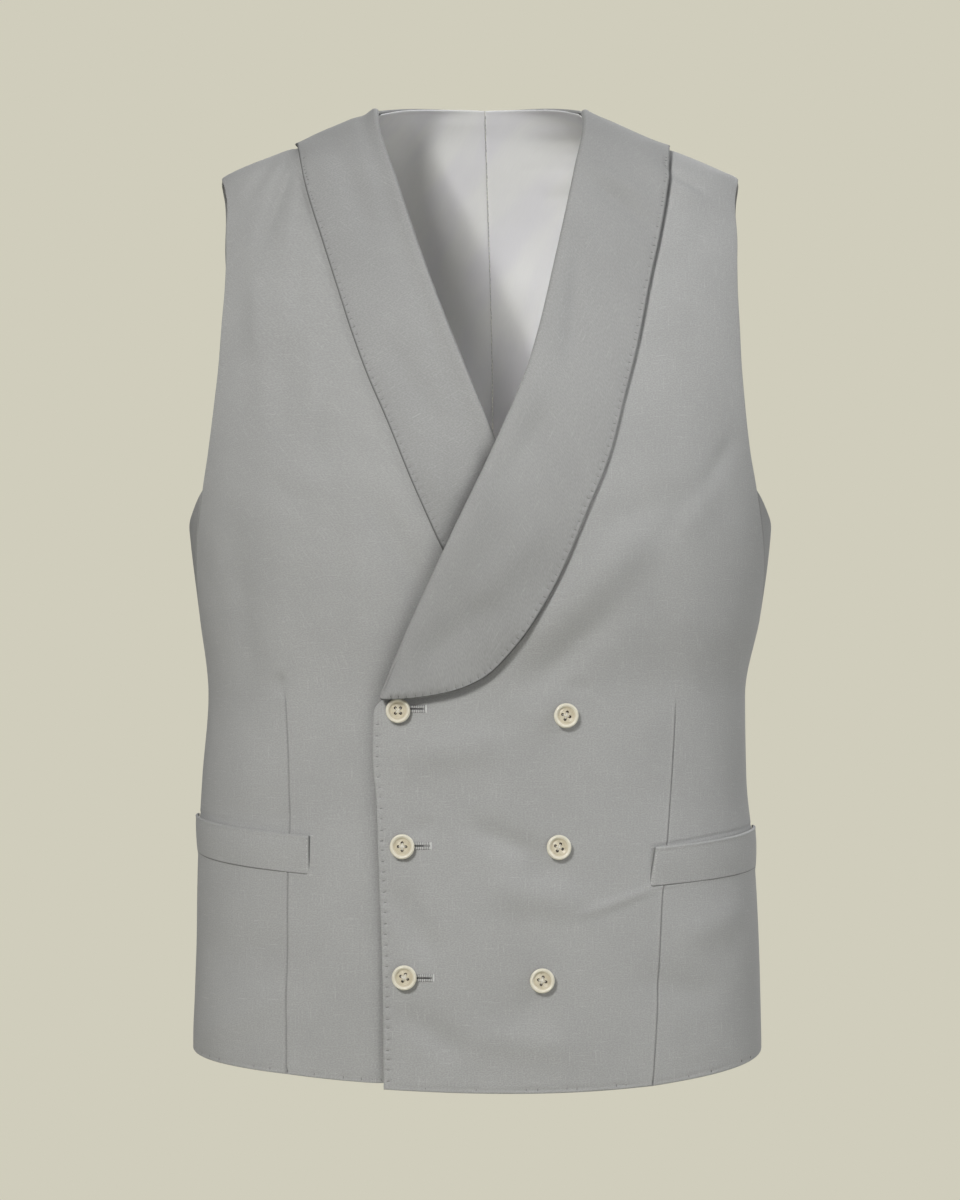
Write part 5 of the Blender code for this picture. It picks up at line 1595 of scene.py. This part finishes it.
# The stage: a pale floor far below, soft studio light and the camera.
stage = {
    "backdrop": (0.6308, 0.6105, 0.5029),
    "ambient": (0.95, 0.96, 1.0),
    "ambientStrength": (-0.6, 0.9, 0.07, 0.14),  # from looking down to looking up, and how strong there
    "floorHeight": -1.20,
    "floorHalf": 1.5,
    "floorColours": ((0.60, 0.585, 0.50), (0.64, 0.62, 0.53)),
    "cameraAt": (0, -2.5, -0.3155),
    "sensor": 36.0,
    "lens": 117.18,
    "lights": (  # name, place, size, watts, colour
        ("key", (-1.23, -2.64, 1.45), 0.9, 84, (1.0, 0.995, 0.98)),
        ("fillRight", (2.90, -0.50, 1.40), 1.6, 49, (0.97, 0.98, 1.0)),
        ("fillLow", (1.35, -2.90, -1.46), 1.6, 11, (0.97, 0.98, 1.0)),
        ("rear", (0.5, 2.4, 1.0), 2.0, 44, (1.0, 1.0, 1.0)),
    ),
    "spots": (  # name, place, aim, watts, spread in degrees, softness
        ("neckLight", (-0.42, -2.30, -0.42), (0.065, 0.08, -0.11), 38, 8.4, 0.06),
        ("frontLight", (0.30, -3.00, -0.45), (0.015, 0.0, -0.45), 220, 5.8, 0.30),
    ),
    "aim": (0.0, 0.0, -0.30),
}


def setWorld():  # the backdrop's colour for the camera, a dim sky for the cloth
    world = bpy.data.worlds.new("studio")
    world.use_nodes = True
    tree = world.node_tree
    tree.nodes.clear()
    seen = addNode(tree, "ShaderNodeBackground", {"Color": (*stage["backdrop"], 1), "Strength": 1.0})
    upward = partOf(tree, addNode(tree, "ShaderNodeTexCoord").outputs["Generated"], "Z")
    strength = ranged(tree, upward, *stage["ambientStrength"])
    soft = addNode(tree, "ShaderNodeBackground", {"Color": (*stage["ambient"], 1), "Strength": strength})
    ray = addNode(tree, "ShaderNodeLightPath").outputs["Is Camera Ray"]
    both = addNode(tree, "ShaderNodeMixShader", {0: ray, 1: soft.outputs[0], 2: seen.outputs[0]})
    addNode(tree, "ShaderNodeOutputWorld", {"Surface": both.outputs[0]})
    bpy.context.scene.world = world


def layFloor():
    half, height = stage["floorHalf"], stage["floorHeight"]
    corners = ((-half, -half, height), (half, -half, height), (half, half, height), (-half, half, height))
    material, tree, shader = newMaterial("paleFloor", Roughness=0.8)
    cloud = noise(tree, addNode(tree, "ShaderNodeTexCoord").outputs["Object"], (3, 3, 3))
    tree.links.new(blendColour(tree, cloud, *stage["floorColours"]), shader.inputs["Base Color"])
    placed("floor", meshOf("floor", corners, [], [(0, 1, 2, 3)], [material]))


def hangLamp(light, place, aim):
    lamp = placed(light.name, light)
    lamp.location = place
    lamp.rotation_euler = (Vector(aim) - Vector(place)).to_track_quat("-Z", "Y").to_euler()


def setLights():
    for name, place, size, watts, colour in stage["lights"]:
        light = bpy.data.lights.new(name, "AREA")
        light.shape = "DISK"
        light.size, light.energy, light.color = size, watts, colour
        hangLamp(light, place, stage["aim"])
    for name, place, aim, watts, spreadAngle, softness in stage["spots"]:
        light = bpy.data.lights.new(name, "SPOT")
        light.energy, light.spot_blend, light.shadow_soft_size = watts, 1.0, softness
        light.spot_size = math.radians(spreadAngle)
        hangLamp(light, place, aim)


def setCamera():
    camera = bpy.data.cameras.new("camera")
    camera.sensor_width, camera.lens = stage["sensor"], stage["lens"]
    eye = placed("camera", camera)
    eye.location = stage["cameraAt"]
    eye.rotation_euler = (math.radians(90), 0, 0)
    bpy.context.scene.camera = eye
    bpy.context.scene.view_settings.view_transform = "Standard"


setWorld()
layFloor()
setLights()
setCamera()
print("waistcoat: stage set")
